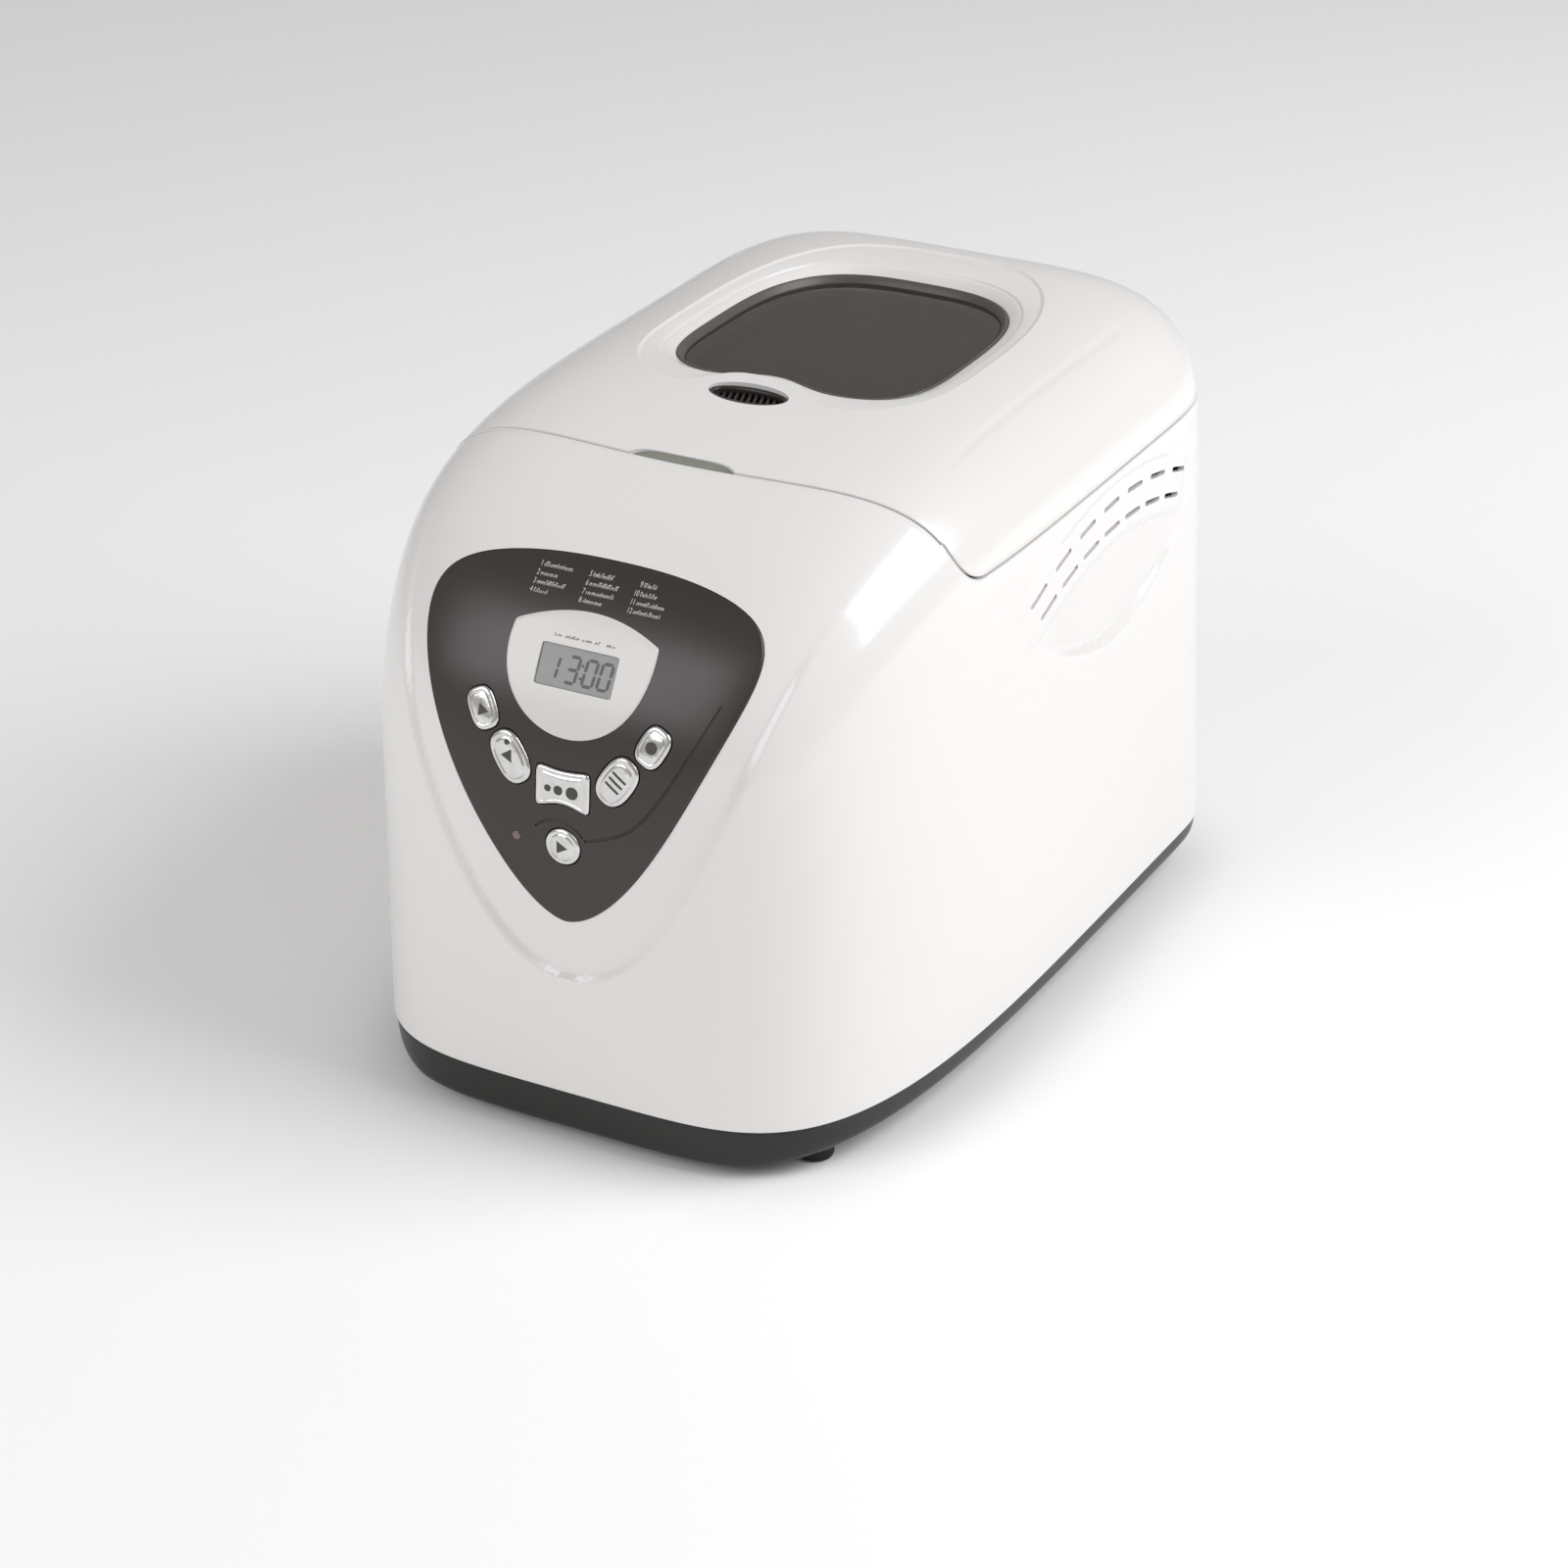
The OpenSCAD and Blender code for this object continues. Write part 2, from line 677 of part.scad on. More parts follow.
coupling_z = 68;
module paddle_shaft() color("#c9cbcc") {
    translate([0, axis_y, 0]) {
        translate([0, 0, 77]) cylinder(d = shaft_d, h = 36);
        translate([0, 0, 75.5]) cylinder(d = 28, h = 3.5);
        for (s = [-1, 1]) translate([s * 9.5 - 3, s > 0 ? 3.5 : -8.5, coupling_z + 0.6])
            cube([6, 5, 8]);
    }
}

module kneading_paddle() color("#3c3c3e") {
    translate([0, axis_y, pan_z + 9]) difference() {
        union() {
            cylinder(d = 20, h = 22);
            translate([-4, 0, 0]) linear_extrude(8) polygon([[0, -9], [58, -4], [60, 0], [58, 4],
                [0, 9]]);
            translate([-2.5, 0, 0]) rotate([90, 0, 0]) translate([0, 0, -2.5]) linear_extrude(5)
                polygon([[6, 0], [60, 0], [56, 20], [40, 34], [22, 34], [10, 20]]);
        }
        translate([0, 0, -1]) cylinder(d = shaft_d, h = 21);
    }
}

module drive_coupling() color("#8f9194") {
    translate([0, axis_y, 0]) difference() {
        union() {
            translate([0, 0, chamber_z + sheet + 2]) cylinder(d = 28, h = coupling_z - chamber_z - sheet - 2);
            translate([-13, -3, coupling_z]) cube([26, 6, 6]);
        }
        cylinder(d = shaft_d, h = coupling_z);
    }
}

module drive_shaft() color("#c9cbcc") {
    translate([0, axis_y, 19]) cylinder(d = shaft_d, h = coupling_z - 19);
}

module drive_bearing() color("#b08d57") {
    translate([0, axis_y, 0]) difference() {
        union() {
            translate([0, 0, belt_z + belt_h + 3.5]) cylinder(d = 19, h = 24);
            translate([0, 0, chassis_z + 2]) cylinder(d = 42, h = 3);
        }
        cylinder(d = shaft_d + 2 * run_fit, h = 200);
        for (a = [0 : 120 : 240]) rotate([0, 0, a]) translate([15.5, 0, 0]) cylinder(d = 3.4, h = 60);
    }
}

module drive_pulley() color("#2c2c2e") {
    translate([0, axis_y, belt_z - 2]) difference() {
        union() {
            cylinder(d = big_pulley_d + 7, h = 1.8);
            cylinder(d = big_pulley_d, h = belt_h + 4);
            translate([0, 0, belt_h + 2.2]) cylinder(d = big_pulley_d + 7, h = 1.8);
        }
        translate([0, 0, -1]) cylinder(d = shaft_d, h = 40);
        for (a = [0 : 60 : 300]) rotate([0, 0, a]) translate([28, 0, -1]) cylinder(d = 17, h = 40);
    }
}

// Flat belt: two arcs joined by two straight runs that touch both circles
function arc(y, r, from, to) = [for (k = [0 : 36])
    let (a = from + (to - from) * k / 36) [r * cos(a), y + r * sin(a)]];
function belt_loop(grow) =
    let (big = big_pulley_d / 2 + grow, small = small_pulley_d / 2 + grow,
        lean = asin((big - small) / (axis_y - motor_y)))
    concat(arc(axis_y, big, -lean, 180 + lean), arc(motor_y, small, 180 + lean, 360 - lean));
module drive_belt() color("#1e1e1e") {
    translate([0, 0, belt_z]) linear_extrude(belt_h) difference() {
        polygon(belt_loop(belt_room + belt_t));
        polygon(belt_loop(belt_room));
    }
}

module chassis_plate() color("#b5b7b9") {
    difference() {
        translate([0, 10, chassis_z]) linear_extrude(2) rounded(228, 352, 24);
        translate([0, axis_y, 0]) cylinder(d = 19, h = 100);
        translate([0, motor_y, 0]) cylinder(d = 26, h = 100);
        for (p = post_spots) translate([p[0], p[1], 0]) cylinder(d = 3, h = 100);
        for (a = [45 : 90 : 315]) translate([0, motor_y, 0]) rotate([0, 0, a])
            translate([48, 0, 0]) cylinder(d = 8, h = 100);
        for (sx = [-1, 1]) translate([sx * 75 - 12, -90, 0]) cube([24, 60, 100]);
    }
}

module chassis_screws() color("#d0d2d4") {
    for (p = post_spots) translate([p[0], p[1], chassis_z + 2]) {
        difference() {
            cylinder(d = 7, h = 2.4);
            translate([-2.5, -0.5, 1.4]) cube([5, 1, 2]);
        }
        translate([0, 0, -14]) cylinder(d = 3, h = 14);
    }
}

motor_z = chassis_z + 8;
module motor_housing() color("#9c9ea0") {
    translate([0, motor_y, motor_z]) difference() {
        union() {
            cylinder(d = 84, h = 52);
            translate([0, 0, -4]) cylinder(d = 30, h = 60);
            for (a = [45 : 90 : 315]) rotate([0, 0, a]) translate([48, 0, 0]) {
                cylinder(d = 15, h = 3);
                translate([-12, -6, 0]) cube([12, 12, 3]);
            }
        }
        translate([0, 0, 6]) cylinder(d = 52, h = 40);
        translate([0, 0, -10]) cylinder(d = shaft_d + 2 * run_fit, h = 90);
        for (a = [45 : 90 : 315]) rotate([0, 0, a]) translate([48, 0, -1]) cylinder(d = 5, h = 10);
        for (a = [0 : 30 : 330]) rotate([0, 0, a]) translate([32, -2, 40]) cube([30, 4, 8]);
    }
}

module motor_mounts() color("#262626") {
    for (a = [45 : 90 : 315]) translate([0, motor_y, 0]) rotate([0, 0, a]) translate([48, 0, 0]) {
        translate([0, 0, chassis_z - 3]) cylinder(d = 12, h = 3);
        translate([0, 0, chassis_z]) cylinder(d = 8, h = 2);
        translate([0, 0, chassis_z + 2]) cylinder(d = 14, h = motor_z - chassis_z - 2);
        translate([0, 0, motor_z]) cylinder(d = 5, h = 6);
        translate([0, 0, motor_z + 3]) cylinder(d = 9, h = 3);
    }
}

module motor_rotor() color("#7c7e80") {
    translate([0, motor_y, 0]) {
        translate([0, 0, 19]) cylinder(d = shaft_d, h = motor_z + 66 - 19);
        translate([0, 0, motor_z + 8]) cylinder(d = 50.4, h = 34);
    }
}

module motor_pulley() color("#2c2c2e") {
    translate([0, motor_y, belt_z - 2]) difference() {
        union() {
            cylinder(d = small_pulley_d + 7, h = 1.8);
            cylinder(d = small_pulley_d, h = belt_h + 4);
            translate([0, 0, belt_h + 2.2]) cylinder(d = small_pulley_d + 7, h = 1.8);
        }
        translate([0, 0, -1]) cylinder(d = shaft_d, h = 40);
    }
}

module motor_fan() color("#35536b") {
    translate([0, motor_y, motor_z + 57]) difference() {
        union() {
            cylinder(d = 16, h = 8);
            cylinder(d = 62, h = 1.5);
            for (a = [0 : 40 : 320]) rotate([0, 0, a]) translate([7, -0.8, 0]) cube([23, 1.6, 8]);
        }
        translate([0, 0, -1]) cylinder(d = shaft_d, h = 20);
    }
}

module run_capacitor() color("#d8d8d6") {
    translate([-88, -150, chassis_z + 2]) {
        cylinder(d = 30, h = 48);
        cylinder(d = 34, h = 6);
        for (s = [-1, 1]) translate([s * 6 - 2.5, -0.4, 48]) cube([5, 0.8, 8]);
    }
}

module power_board() color("darkgreen") {
    translate([96, -132, chassis_z + 2]) {
        cube([1.6, 80, 76]);
        translate([-16, 10, 12]) cube([16, 26, 30]);
        translate([-12, 46, 14]) cube([12, 14, 14]);
        translate([-6, 20, 52]) rotate([0, 90, 0]) cylinder(d = 12, h = 6);
        for (s = [6, 68]) translate([-3, s, 0]) cube([3, 6, 10]);
    }
}

boss_spots = [for (sx = [-1, 1], y = [-44, 150]) [sx * 92, y]];
module lid_shell() color("white") {
    difference() {
        union() {
            difference() {
                intersection() {
                    form();
                    lid_zone(seam_gap / 2);
                }
                intersection() {
                    form(wall);
                    translate([0, seam_front + seam_bow, 200])
                        cylinder(r = seam_bow - seam_gap / 2 - wall, h = 120, $fn = 360);
                }
            }
            for (p = boss_spots) translate([p[0], p[1], liner_z + sheet])
                cylinder(d = 9, h = crown_z(p[0], p[1], wall, 230, body_h - wall, 16) - 1 - liner_z);
        }
        translate([0, 0, 270]) linear_extrude(60) polygon(window_outline(0));
        translate([0, vent_y, 270]) linear_extrude(60) polygon(oval(vent_w, 19));
        barrels(knuckle_d, lid_spans);
        lugs(lid_spans, 0, 3);
        barrels(knuckle_d + 1.2, [for (s = body_spans) [s[0] - 0.5, s[1] + 0.5]]);
        lip_space();
        for (p = boss_spots) translate([p[0], p[1], liner_z]) cylinder(d = 2.6, h = 9);
    }
}

// Shallow notch in the middle of the lid's front edge, for the fingers
module lip_space() {
    intersection() {
        translate([0, -95, 279]) linear_extrude(20) rounded(53, 13, 4);
        translate([0, seam_front + seam_bow, 200]) cylinder(r = seam_bow + 2, h = 120, $fn = 360);
    }
}

module finger_lip() color("#8d8c84") {
    intersection() {
        lip_space();
        form(1.6);
        translate([0, seam_front + seam_bow, 200]) cylinder(r = seam_bow - seam_gap / 2, h = 120, $fn = 360);
    }
}

module window_surround() color("white") {
    difference() {
        translate([0, 0, glass_z - 4]) linear_extrude(11.5) polygon(window_outline(0));
        translate([0, 0, glass_z]) linear_extrude(40) polygon(window_outline(-3));
        translate([0, 0, glass_z - 10]) linear_extrude(40) polygon(window_outline(-13));
    }
}

module window_gasket() color("#77756f") {
    translate([0, 0, glass_z]) linear_extrude(glass_t + 1) difference() {
        polygon(window_outline(-3.2));
        polygon(window_outline(-9));
    }
}

module window_glass() color("#332e2a", 0.6) {
    translate([0, 0, glass_z]) linear_extrude(glass_t) polygon(window_outline(-9.2));
}

module liner_outline(g) {
    translate([0, axis_y - 2]) rounded(224 + 2 * g, 240 + 2 * g, 26 + g);
}
module lid_liner() color("#b9bbbd") {
    difference() {
        translate([0, 0, seam_z + 3]) linear_extrude(liner_z + sheet - seam_z - 3) liner_outline(0);
        translate([0, 0, seam_z]) linear_extrude(liner_z - seam_z) liner_outline(-sheet);
        translate([0, window_y + 8, liner_z - 5]) linear_extrude(20) rounded(112, 138, 30);
        for (p = boss_spots) translate([p[0], p[1], liner_z - 5]) cylinder(d = 3, h = 20);
        translate([0, vent_y - 2, liner_z - 5]) cylinder(d = 16, h = 20);
    }
}

module inner_glass() color("#cfd6d6", 0.4) {
    translate([0, window_y + 8, liner_z + sheet]) linear_extrude(3) rounded(126, 152, 34);
}

module liner_screws() color("#d0d2d4") {
    for (p = boss_spots) translate([p[0], p[1], liner_z]) {
        translate([0, 0, -2]) cylinder(d = 6, h = 2);
        cylinder(d = 2.6, h = 8);
    }
}

module vent_grille() color("#2b2724") {
    translate([0, vent_y, 0]) {
        difference() {
            translate([0, 0, 288]) linear_extrude(8) polygon(oval(vent_w, 19));
            translate([0, 0, 280]) linear_extrude(40) polygon(oval(vent_w - 4, 14.6));
        }
        intersection() {
            translate([0, 0, 288]) linear_extrude(7) polygon(oval(vent_w - 3.8, 14.8));
            for (k = [-4 : 4]) translate([k * 4, 0, 291]) rotate([0, 0, 18])
                cube([1.6, 30, 8], center = true);
        }
    }
}

// Lug of a knuckle, through the wall to the plate behind it, from z low to high
module lugs(spans, low, high) {
    for (side = [-1, 1], s = spans) translate([side * hinge_x + s[0], plate_y, hinge_z + low])
        cube([s[1] - s[0], 7.5, high - low]);
}
module hinge_plates(spans, low, high) {
    for (side = [-1, 1], s = spans) translate([side * hinge_x + s[0], plate_y, hinge_z + low])
        cube([s[1] - s[0], 3, high - low]);
}

module lid_hinge_arms() color("#d9d9d7") {
    difference() {
        union() {
            barrels(knuckle_d, lid_spans);
            lugs(lid_spans, 0, 3);
            hinge_plates(lid_spans, 0, 20);
        }
        barrels(pin_d + 0.08, [[-20, 20]]);
    }
}

module hinge_brackets() color("#d9d9d7") {
    difference() {
        union() {
            barrels(knuckle_d, body_spans);
            lugs(body_spans, -3, 0);
            hinge_plates(body_spans, -26, 0);
        }
        barrels(pin_d, [[-20, 20]]);
    }
}

module hinge_pins() color("#c9cbcc") {
    barrels(pin_d, [[-lid_barrel / 2 - body_barrel, lid_barrel / 2 + body_barrel]]);
}

gland_x = 60;
gland_z = 70;
gland_neck = 16;
module gland_block(side, y0, y1) {
    translate([gland_x - side / 2, rear_face + y0, gland_z - side / 2]) cube([side, y1 - y0, side]);
}
module gland_hole() {
    gland_block(gland_neck, -8, 12);
}
module cord_gland() color("#1c1b19") {
    difference() {
        union() {
            translate([gland_x, rear_face, gland_z]) rotate([-90, 0, 0]) cylinder(d = 25, h = 3);
            gland_block(gland_neck, -6, 2);
            gland_block(gland_neck + 3, -6, -3.4);
        }
        translate([gland_x, rear_face, gland_z]) rotate([-90, 0, 0]) translate([0, 0, -10])
            cylinder(d = 8, h = 20);
    }
}

body_shell();
base_tray();
foot_front_left();
foot_front_right();
foot_rear_left();
foot_rear_right();
control_panel();
display_bezel();
lcd_display();
button_time_up();
button_time_down();
button_loaf_size();
button_menu();
button_crust();
button_start();
indicator_light();
control_board();
board_switches();
top_deck();
oven_chamber();
chamber_stands();
heating_element();
element_bushes();
temperature_sensor();
pan_socket();
pan_clips();
bread_pan();
pan_skirt();
handle_ears();
pan_handle();
pan_bush();
paddle_shaft();
kneading_paddle();
drive_coupling();
drive_shaft();
drive_bearing();
drive_pulley();
drive_belt();
chassis_plate();
chassis_screws();
motor_housing();
motor_mounts();
motor_rotor();
motor_pulley();
motor_fan();
run_capacitor();
power_board();
lid_shell();
window_surround();
window_gasket();
window_glass();
inner_glass();
lid_liner();
liner_screws();
vent_grille();
finger_lip();
lid_hinge_arms();
hinge_brackets();
hinge_pins();
cord_gland();
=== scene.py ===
import math
import bpy
import bmesh
import numpy as np
from mathutils import Matrix


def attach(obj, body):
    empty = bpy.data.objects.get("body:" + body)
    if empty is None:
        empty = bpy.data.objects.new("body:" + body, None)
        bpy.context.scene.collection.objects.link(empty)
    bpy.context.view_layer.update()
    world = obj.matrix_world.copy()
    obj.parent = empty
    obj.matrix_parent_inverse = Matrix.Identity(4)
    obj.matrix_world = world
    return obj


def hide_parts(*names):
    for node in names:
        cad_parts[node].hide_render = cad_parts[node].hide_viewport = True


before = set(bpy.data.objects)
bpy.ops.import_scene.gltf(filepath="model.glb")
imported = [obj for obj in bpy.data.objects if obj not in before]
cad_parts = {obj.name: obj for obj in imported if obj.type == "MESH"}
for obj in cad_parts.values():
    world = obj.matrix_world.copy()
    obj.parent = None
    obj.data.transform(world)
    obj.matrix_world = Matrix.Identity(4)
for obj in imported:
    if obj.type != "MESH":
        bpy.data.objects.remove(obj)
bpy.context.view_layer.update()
pi = math.pi

# ---------------------------------------------------------------- the body's form, in mm
SEAM_Z = 247.5
BOW_R = 606.0
BOW_Y = 505.0
CORNER_R = 20.0
CORNER_Y = -68.0
CROWN = 300.0
WALL = 3.0
BASE_TOP = 26.0
WINDOW_Y = 50.0
VENT_Y = -39.0
AXIS_Y = 60.0
DIAL_Z = 222.0
DIAL_R = 46.0
GLAND_HALF = 8.1
GLAND_X, GLAND_Z = 60.0, 70.0
HINGE_X = 62.0
FOOT_X, FOOT_Y = 98.0, 161.0
PAN_W, PAN_D, PAN_CORNER = 168.0, 148.0, 28.0
BLADE_HALF = 2.5
FACE_SKIN, RING_SKIN = 0.4, 1.6


def squircle(u, p):
    return (1 - np.clip(u, 0, 1) ** p) ** (1 / p)


def ease(u):
    u = np.clip(u, 0, 1)
    return u * u * (3 - 2 * u)


def middle_y(z):
    return 128 - 56 * np.clip((z - BASE_TOP) / (CROWN - BASE_TOP), 0, 1)


def form_half(z, t=0.0):
    side = 139 - 5 * np.clip((z - BASE_TOP) / (SEAM_Z - BASE_TOP), 0, 1)
    return (side - t) * squircle((z - 222) / (CROWN - t - 222), 3.4)


def form_front(z, t=0.0):
    m = middle_y(z)
    return m + (t - 205 - m) * squircle((z - 140) / (CROWN - t - 140), 3)


def form_rear(z, t=0.0):
    m = middle_y(z)
    return m + (199 - t - m) * squircle((z - 254) / (CROWN - t - 254), 5)


def face_y(x, z, t=0.0):
    m = middle_y(z)
    return m - (m - form_front(z, t)) * squircle(np.abs(x) / form_half(z, t), 4.6)


def on_form(turn, z, t=0.0):
    """Place on the form: turn runs round it, z is the height, t holds it in."""
    c, s = np.cos(turn), np.sin(turn)
    n = np.where(s < 0, 4.6, 5.5)
    r = (np.abs(c) ** n + np.abs(s) ** n) ** (-1 / n)
    m = middle_y(z)
    reach = np.where(s < 0, m - form_front(z, t), form_rear(z, t) - m)
    return np.stack([form_half(z, t) * r * c, m + reach * r * s, z + 0 * r], -1)


def in_lid(p, g):
    x, y, z = p[..., 0], p[..., 1], p[..., 2]
    corner = (y < CORNER_Y) & (z < SEAM_Z + CORNER_R) & (
        np.hypot(y - CORNER_Y, z - SEAM_Z - CORNER_R) > CORNER_R - g)
    return (np.hypot(x, y - BOW_Y) < BOW_R - g) & (z > SEAM_Z + g) & ~corner


def rim_front(x, out=0.0):
    """Front edge of the window, out mm outside its rim."""
    w = 71 + out
    return WINDOW_Y + 9 * np.exp(-(x / 20) ** 2) - (72 + out) * squircle(np.abs(x) / w, 3.8)


def in_window(p, out=0.0):
    x, y = p[..., 0], p[..., 1]
    w = 71 + out
    rear = WINDOW_Y + (91 + out) * squircle(np.abs(x) / w, 3)
    return (np.abs(x) < w) & (y > rim_front(x, out)) & (y < rear)


def in_bowl(p):
    x, y = p[..., 0], p[..., 1]
    front = WINDOW_Y + 18.5 * np.exp(-(x / 27) ** 4) - 89 * squircle(np.abs(x) / 78, 3.6)
    rear = WINDOW_Y + 114 * squircle(np.abs(x) / 78, 2.7)
    return (np.abs(x) < 78) & (y > front) & (y < rear)


def crossing(turn, t, test):
    """Plan fraction at which each path over the crown enters a region."""
    low, high = np.zeros(len(turn)), np.ones(len(turn))
    for _ in range(40):
        mid = (low + high) / 2
        inside = test(on_form(turn, crown_z(mid, t), t))
        low, high = np.where(inside, mid, low), np.where(inside, high, mid)
    return (low + high) / 2


def crown_z(c, t=0.0):
    return 222 + (CROWN - t - 222) * (1 - np.clip(c, 0, 1) ** 3.4) ** (1 / 3.4)


def spaced_turns(spacing_front, spacing_rear):
    a = np.linspace(-pi, pi, 30001)
    p = on_form(a, 200.0 + 0 * a)
    step = np.hypot(*np.diff(p[:, :2], axis=0).T)
    y = p[1:, 1]
    want = spacing_front + (spacing_rear - spacing_front) * ease((y - 138) / 30)
    run = np.concatenate([[0], np.cumsum(step / want)])
    count = int(round(run[-1] / 4)) * 4
    return np.interp(np.arange(count) / count * run[-1], run, a)


def along(path, lengths):
    """Points of each path (turns, samples, 3) at the given arc lengths (turns, rings)."""
    seg = np.linalg.norm(np.diff(path, axis=1), axis=2)
    run = np.concatenate([np.zeros((len(path), 1)), np.cumsum(seg, 1)], 1)
    total = run[:, -1:]
    out = np.empty((len(path), lengths.shape[1], 3))
    for i in range(len(path)):
        for k in range(3):
            out[i, :, k] = np.interp(lengths[i], run[i], path[i, :, k])
    return out, total


def path_length(path):
    return np.linalg.norm(np.diff(path, axis=1), axis=2).sum(1)


def outward(grid):
    """Unit normals of a (turns, rings, 3) grid that closes in its first direction."""
    du = np.roll(grid, -1, 0) - np.roll(grid, 1, 0)
    dv = np.gradient(grid, axis=1)
    n = np.cross(du, dv)
    return n / np.maximum(np.linalg.norm(n, axis=2, keepdims=True), 1e-12)


# ---------------------------------------------------------------- mesh makers
def piece(name, verts, faces, material, body, nodes=(), crisp=40):
    mesh = bpy.data.meshes.new(name)
    mesh.from_pydata((np.asarray(verts, float) * 0.001).tolist(), [], faces)
    mesh.materials.append(material)
    obj = bpy.data.objects.new(name, mesh)
    bpy.context.collection.objects.link(obj)
    finish(obj, crisp)
    if body:
        hand_over(obj, body, nodes)
    return obj


def finish(obj, crisp=40):
    mesh = obj.data
    mesh.update()
    mesh.polygons.foreach_set("use_smooth", [True] * len(mesh.polygons))
    mesh.set_sharp_from_angle(angle=math.radians(crisp))


def hand_over(obj, body, nodes=()):
    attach(obj, body)
    if nodes:
        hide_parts(*nodes)


def torus_faces(turns, rings):
    i, j = np.meshgrid(np.arange(turns), np.arange(rings), indexing="ij")
    a = i * rings + j
    b = (i + 1) % turns * rings + j
    c = (i + 1) % turns * rings + (j + 1) % rings
    d = i * rings + (j + 1) % rings
    return np.stack([a, b, c, d], -1).reshape(-1, 4).tolist()


def ring_solid(rings):
    """Closed skin through rings (rings, points, 3), with a fan at both ends."""
    rings = np.asarray(rings, float)
    k, n = rings.shape[:2]
    verts = np.concatenate([rings.reshape(-1, 3), rings[0].mean(0)[None], rings[-1].mean(0)[None]])
    faces = []
    for j in range(k - 1):
        for i in range(n):
            a, b = j * n + i, j * n + (i + 1) % n
            faces.append((a, b, b + n, a + n))
    for i in range(n):
        faces.append((k * n, (i + 1) % n, i))
        faces.append((k * n + 1, (k - 1) * n + i, (k - 1) * n + (i + 1) % n))
    return verts, faces


def face_out(obj):
    bm = bmesh.new()
    bm.from_mesh(obj.data)
    bmesh.ops.remove_doubles(bm, verts=bm.verts, dist=1e-7)
    bmesh.ops.recalc_face_normals(bm, faces=bm.faces)
    bm.to_mesh(obj.data)
    bm.free()


def solid(name, rings, material, body=None, nodes=(), crisp=40):
    verts, faces = ring_solid(rings)
    obj = piece(name, verts, faces, material, None, crisp=crisp)
    face_out(obj)
    finish(obj, crisp)
    if body:
        hand_over(obj, body, nodes)
    return obj


def cut(obj, tools, crisp=40):
    """Takes the tools' space out of a piece, and removes the tools."""
    for tool in tools:
        face_out(tool)
        mod = obj.modifiers.new("cut", "BOOLEAN")
        mod.operation = "DIFFERENCE"
        mod.solver = "MANIFOLD"
        mod.object = tool
    deps = bpy.context.evaluated_depsgraph_get()
    mesh = bpy.data.meshes.new_from_object(obj.evaluated_get(deps))
    old = obj.data
    obj.modifiers.clear()
    obj.data = mesh
    bpy.data.meshes.remove(old)
    for tool in tools:
        bpy.data.objects.remove(tool)
    while len(mesh.materials) > 1:
        mesh.materials.pop()
    mesh.polygons.foreach_set("material_index", [0] * len(mesh.polygons))
    finish(obj, crisp)


def join(name, objs):
    bm = bmesh.new()
    for o in objs:
        bm.from_mesh(o.data)
    mesh = bpy.data.meshes.new(name)
    bm.to_mesh(mesh)
    bm.free()
    mesh.materials.append(objs[0].data.materials[0])
    out = bpy.data.objects.new(name, mesh)
    bpy.context.collection.objects.link(out)
    for o in objs:
        bpy.data.objects.remove(o)
    return out


def joined(name, objs, crisp, body, nodes=()):
    """Several meshes as one finished piece that rides a body."""
    obj = join(name, objs)
    finish(obj, crisp)
    hand_over(obj, body, nodes)


def evened(points, count):
    """A closed outline resampled to even steps."""
    p = np.concatenate([points, points[:1]])
    run = np.concatenate([[0], np.cumsum(np.linalg.norm(np.diff(p, axis=0), axis=1))])
    s = np.arange(count) / count * run[-1]
    return np.stack([np.interp(s, run, p[:, k]) for k in range(p.shape[1])], -1)


def grown(points, by):
    """A closed counter-clockwise outline moved outwards."""
    d = np.roll(points, -1, 0) - np.roll(points, 1, 0)
    n = np.stack([d[:, 1], -d[:, 0]], -1)
    return points + by * n / np.maximum(np.linalg.norm(n, axis=1, keepdims=True), 1e-9)


def rounded_box(w, d, r, count=96):
    a = np.linspace(0, 2 * pi, 361)[:-1]
    sx, sy = np.sign(np.cos(a)), np.sign(np.sin(a))
    p = np.stack([sx * (w / 2 - r) + r * np.cos(a), sy * (d / 2 - r) + r * np.sin(a)], -1)
    return evened(p, count)


def egg(w, h, n, count=96):
    a = np.linspace(0, 2 * pi, 721)[:-1]
    p = np.stack([w / 2 * np.sign(np.cos(a)) * np.abs(np.cos(a)) ** (2 / n),
                  h / 2 * np.sign(np.sin(a)) * np.abs(np.sin(a)) ** (2 / n)], -1)
    return evened(p, count)


def level(outline, z):
    return np.column_stack([outline, np.full(len(outline), float(z))])


def lathe(profile, centre=(0, 0), count=64):
    """Rings round a vertical axis from a list of (radius, z)."""
    a = np.linspace(0, 2 * pi, count + 1)[:-1]
    return [np.stack([centre[0] + r * np.cos(a), centre[1] + r * np.sin(a), z + 0 * a], -1)
            for r, z in profile]


def tube(points, radius, sides=16):
    """Round bar along a list of points."""
    p = np.asarray(points, float)
    t = np.gradient(p, axis=0)
    t /= np.linalg.norm(t, axis=1, keepdims=True)
    up = np.array([0, 0, 1.0]) if abs(t[0][2]) < 0.9 else np.array([0, 1.0, 0])
    u = np.cross(t[0], up)
    u /= np.linalg.norm(u)
    rings = []
    for k in range(len(p)):
        u = u - t[k] * np.dot(u, t[k])
        u /= np.linalg.norm(u)
        v = np.cross(t[k], u)
        a = np.linspace(0, 2 * pi, sides + 1)[:-1][:, None]
        rings.append(p[k] + radius * (np.cos(a) * u + np.sin(a) * v))
    return rings


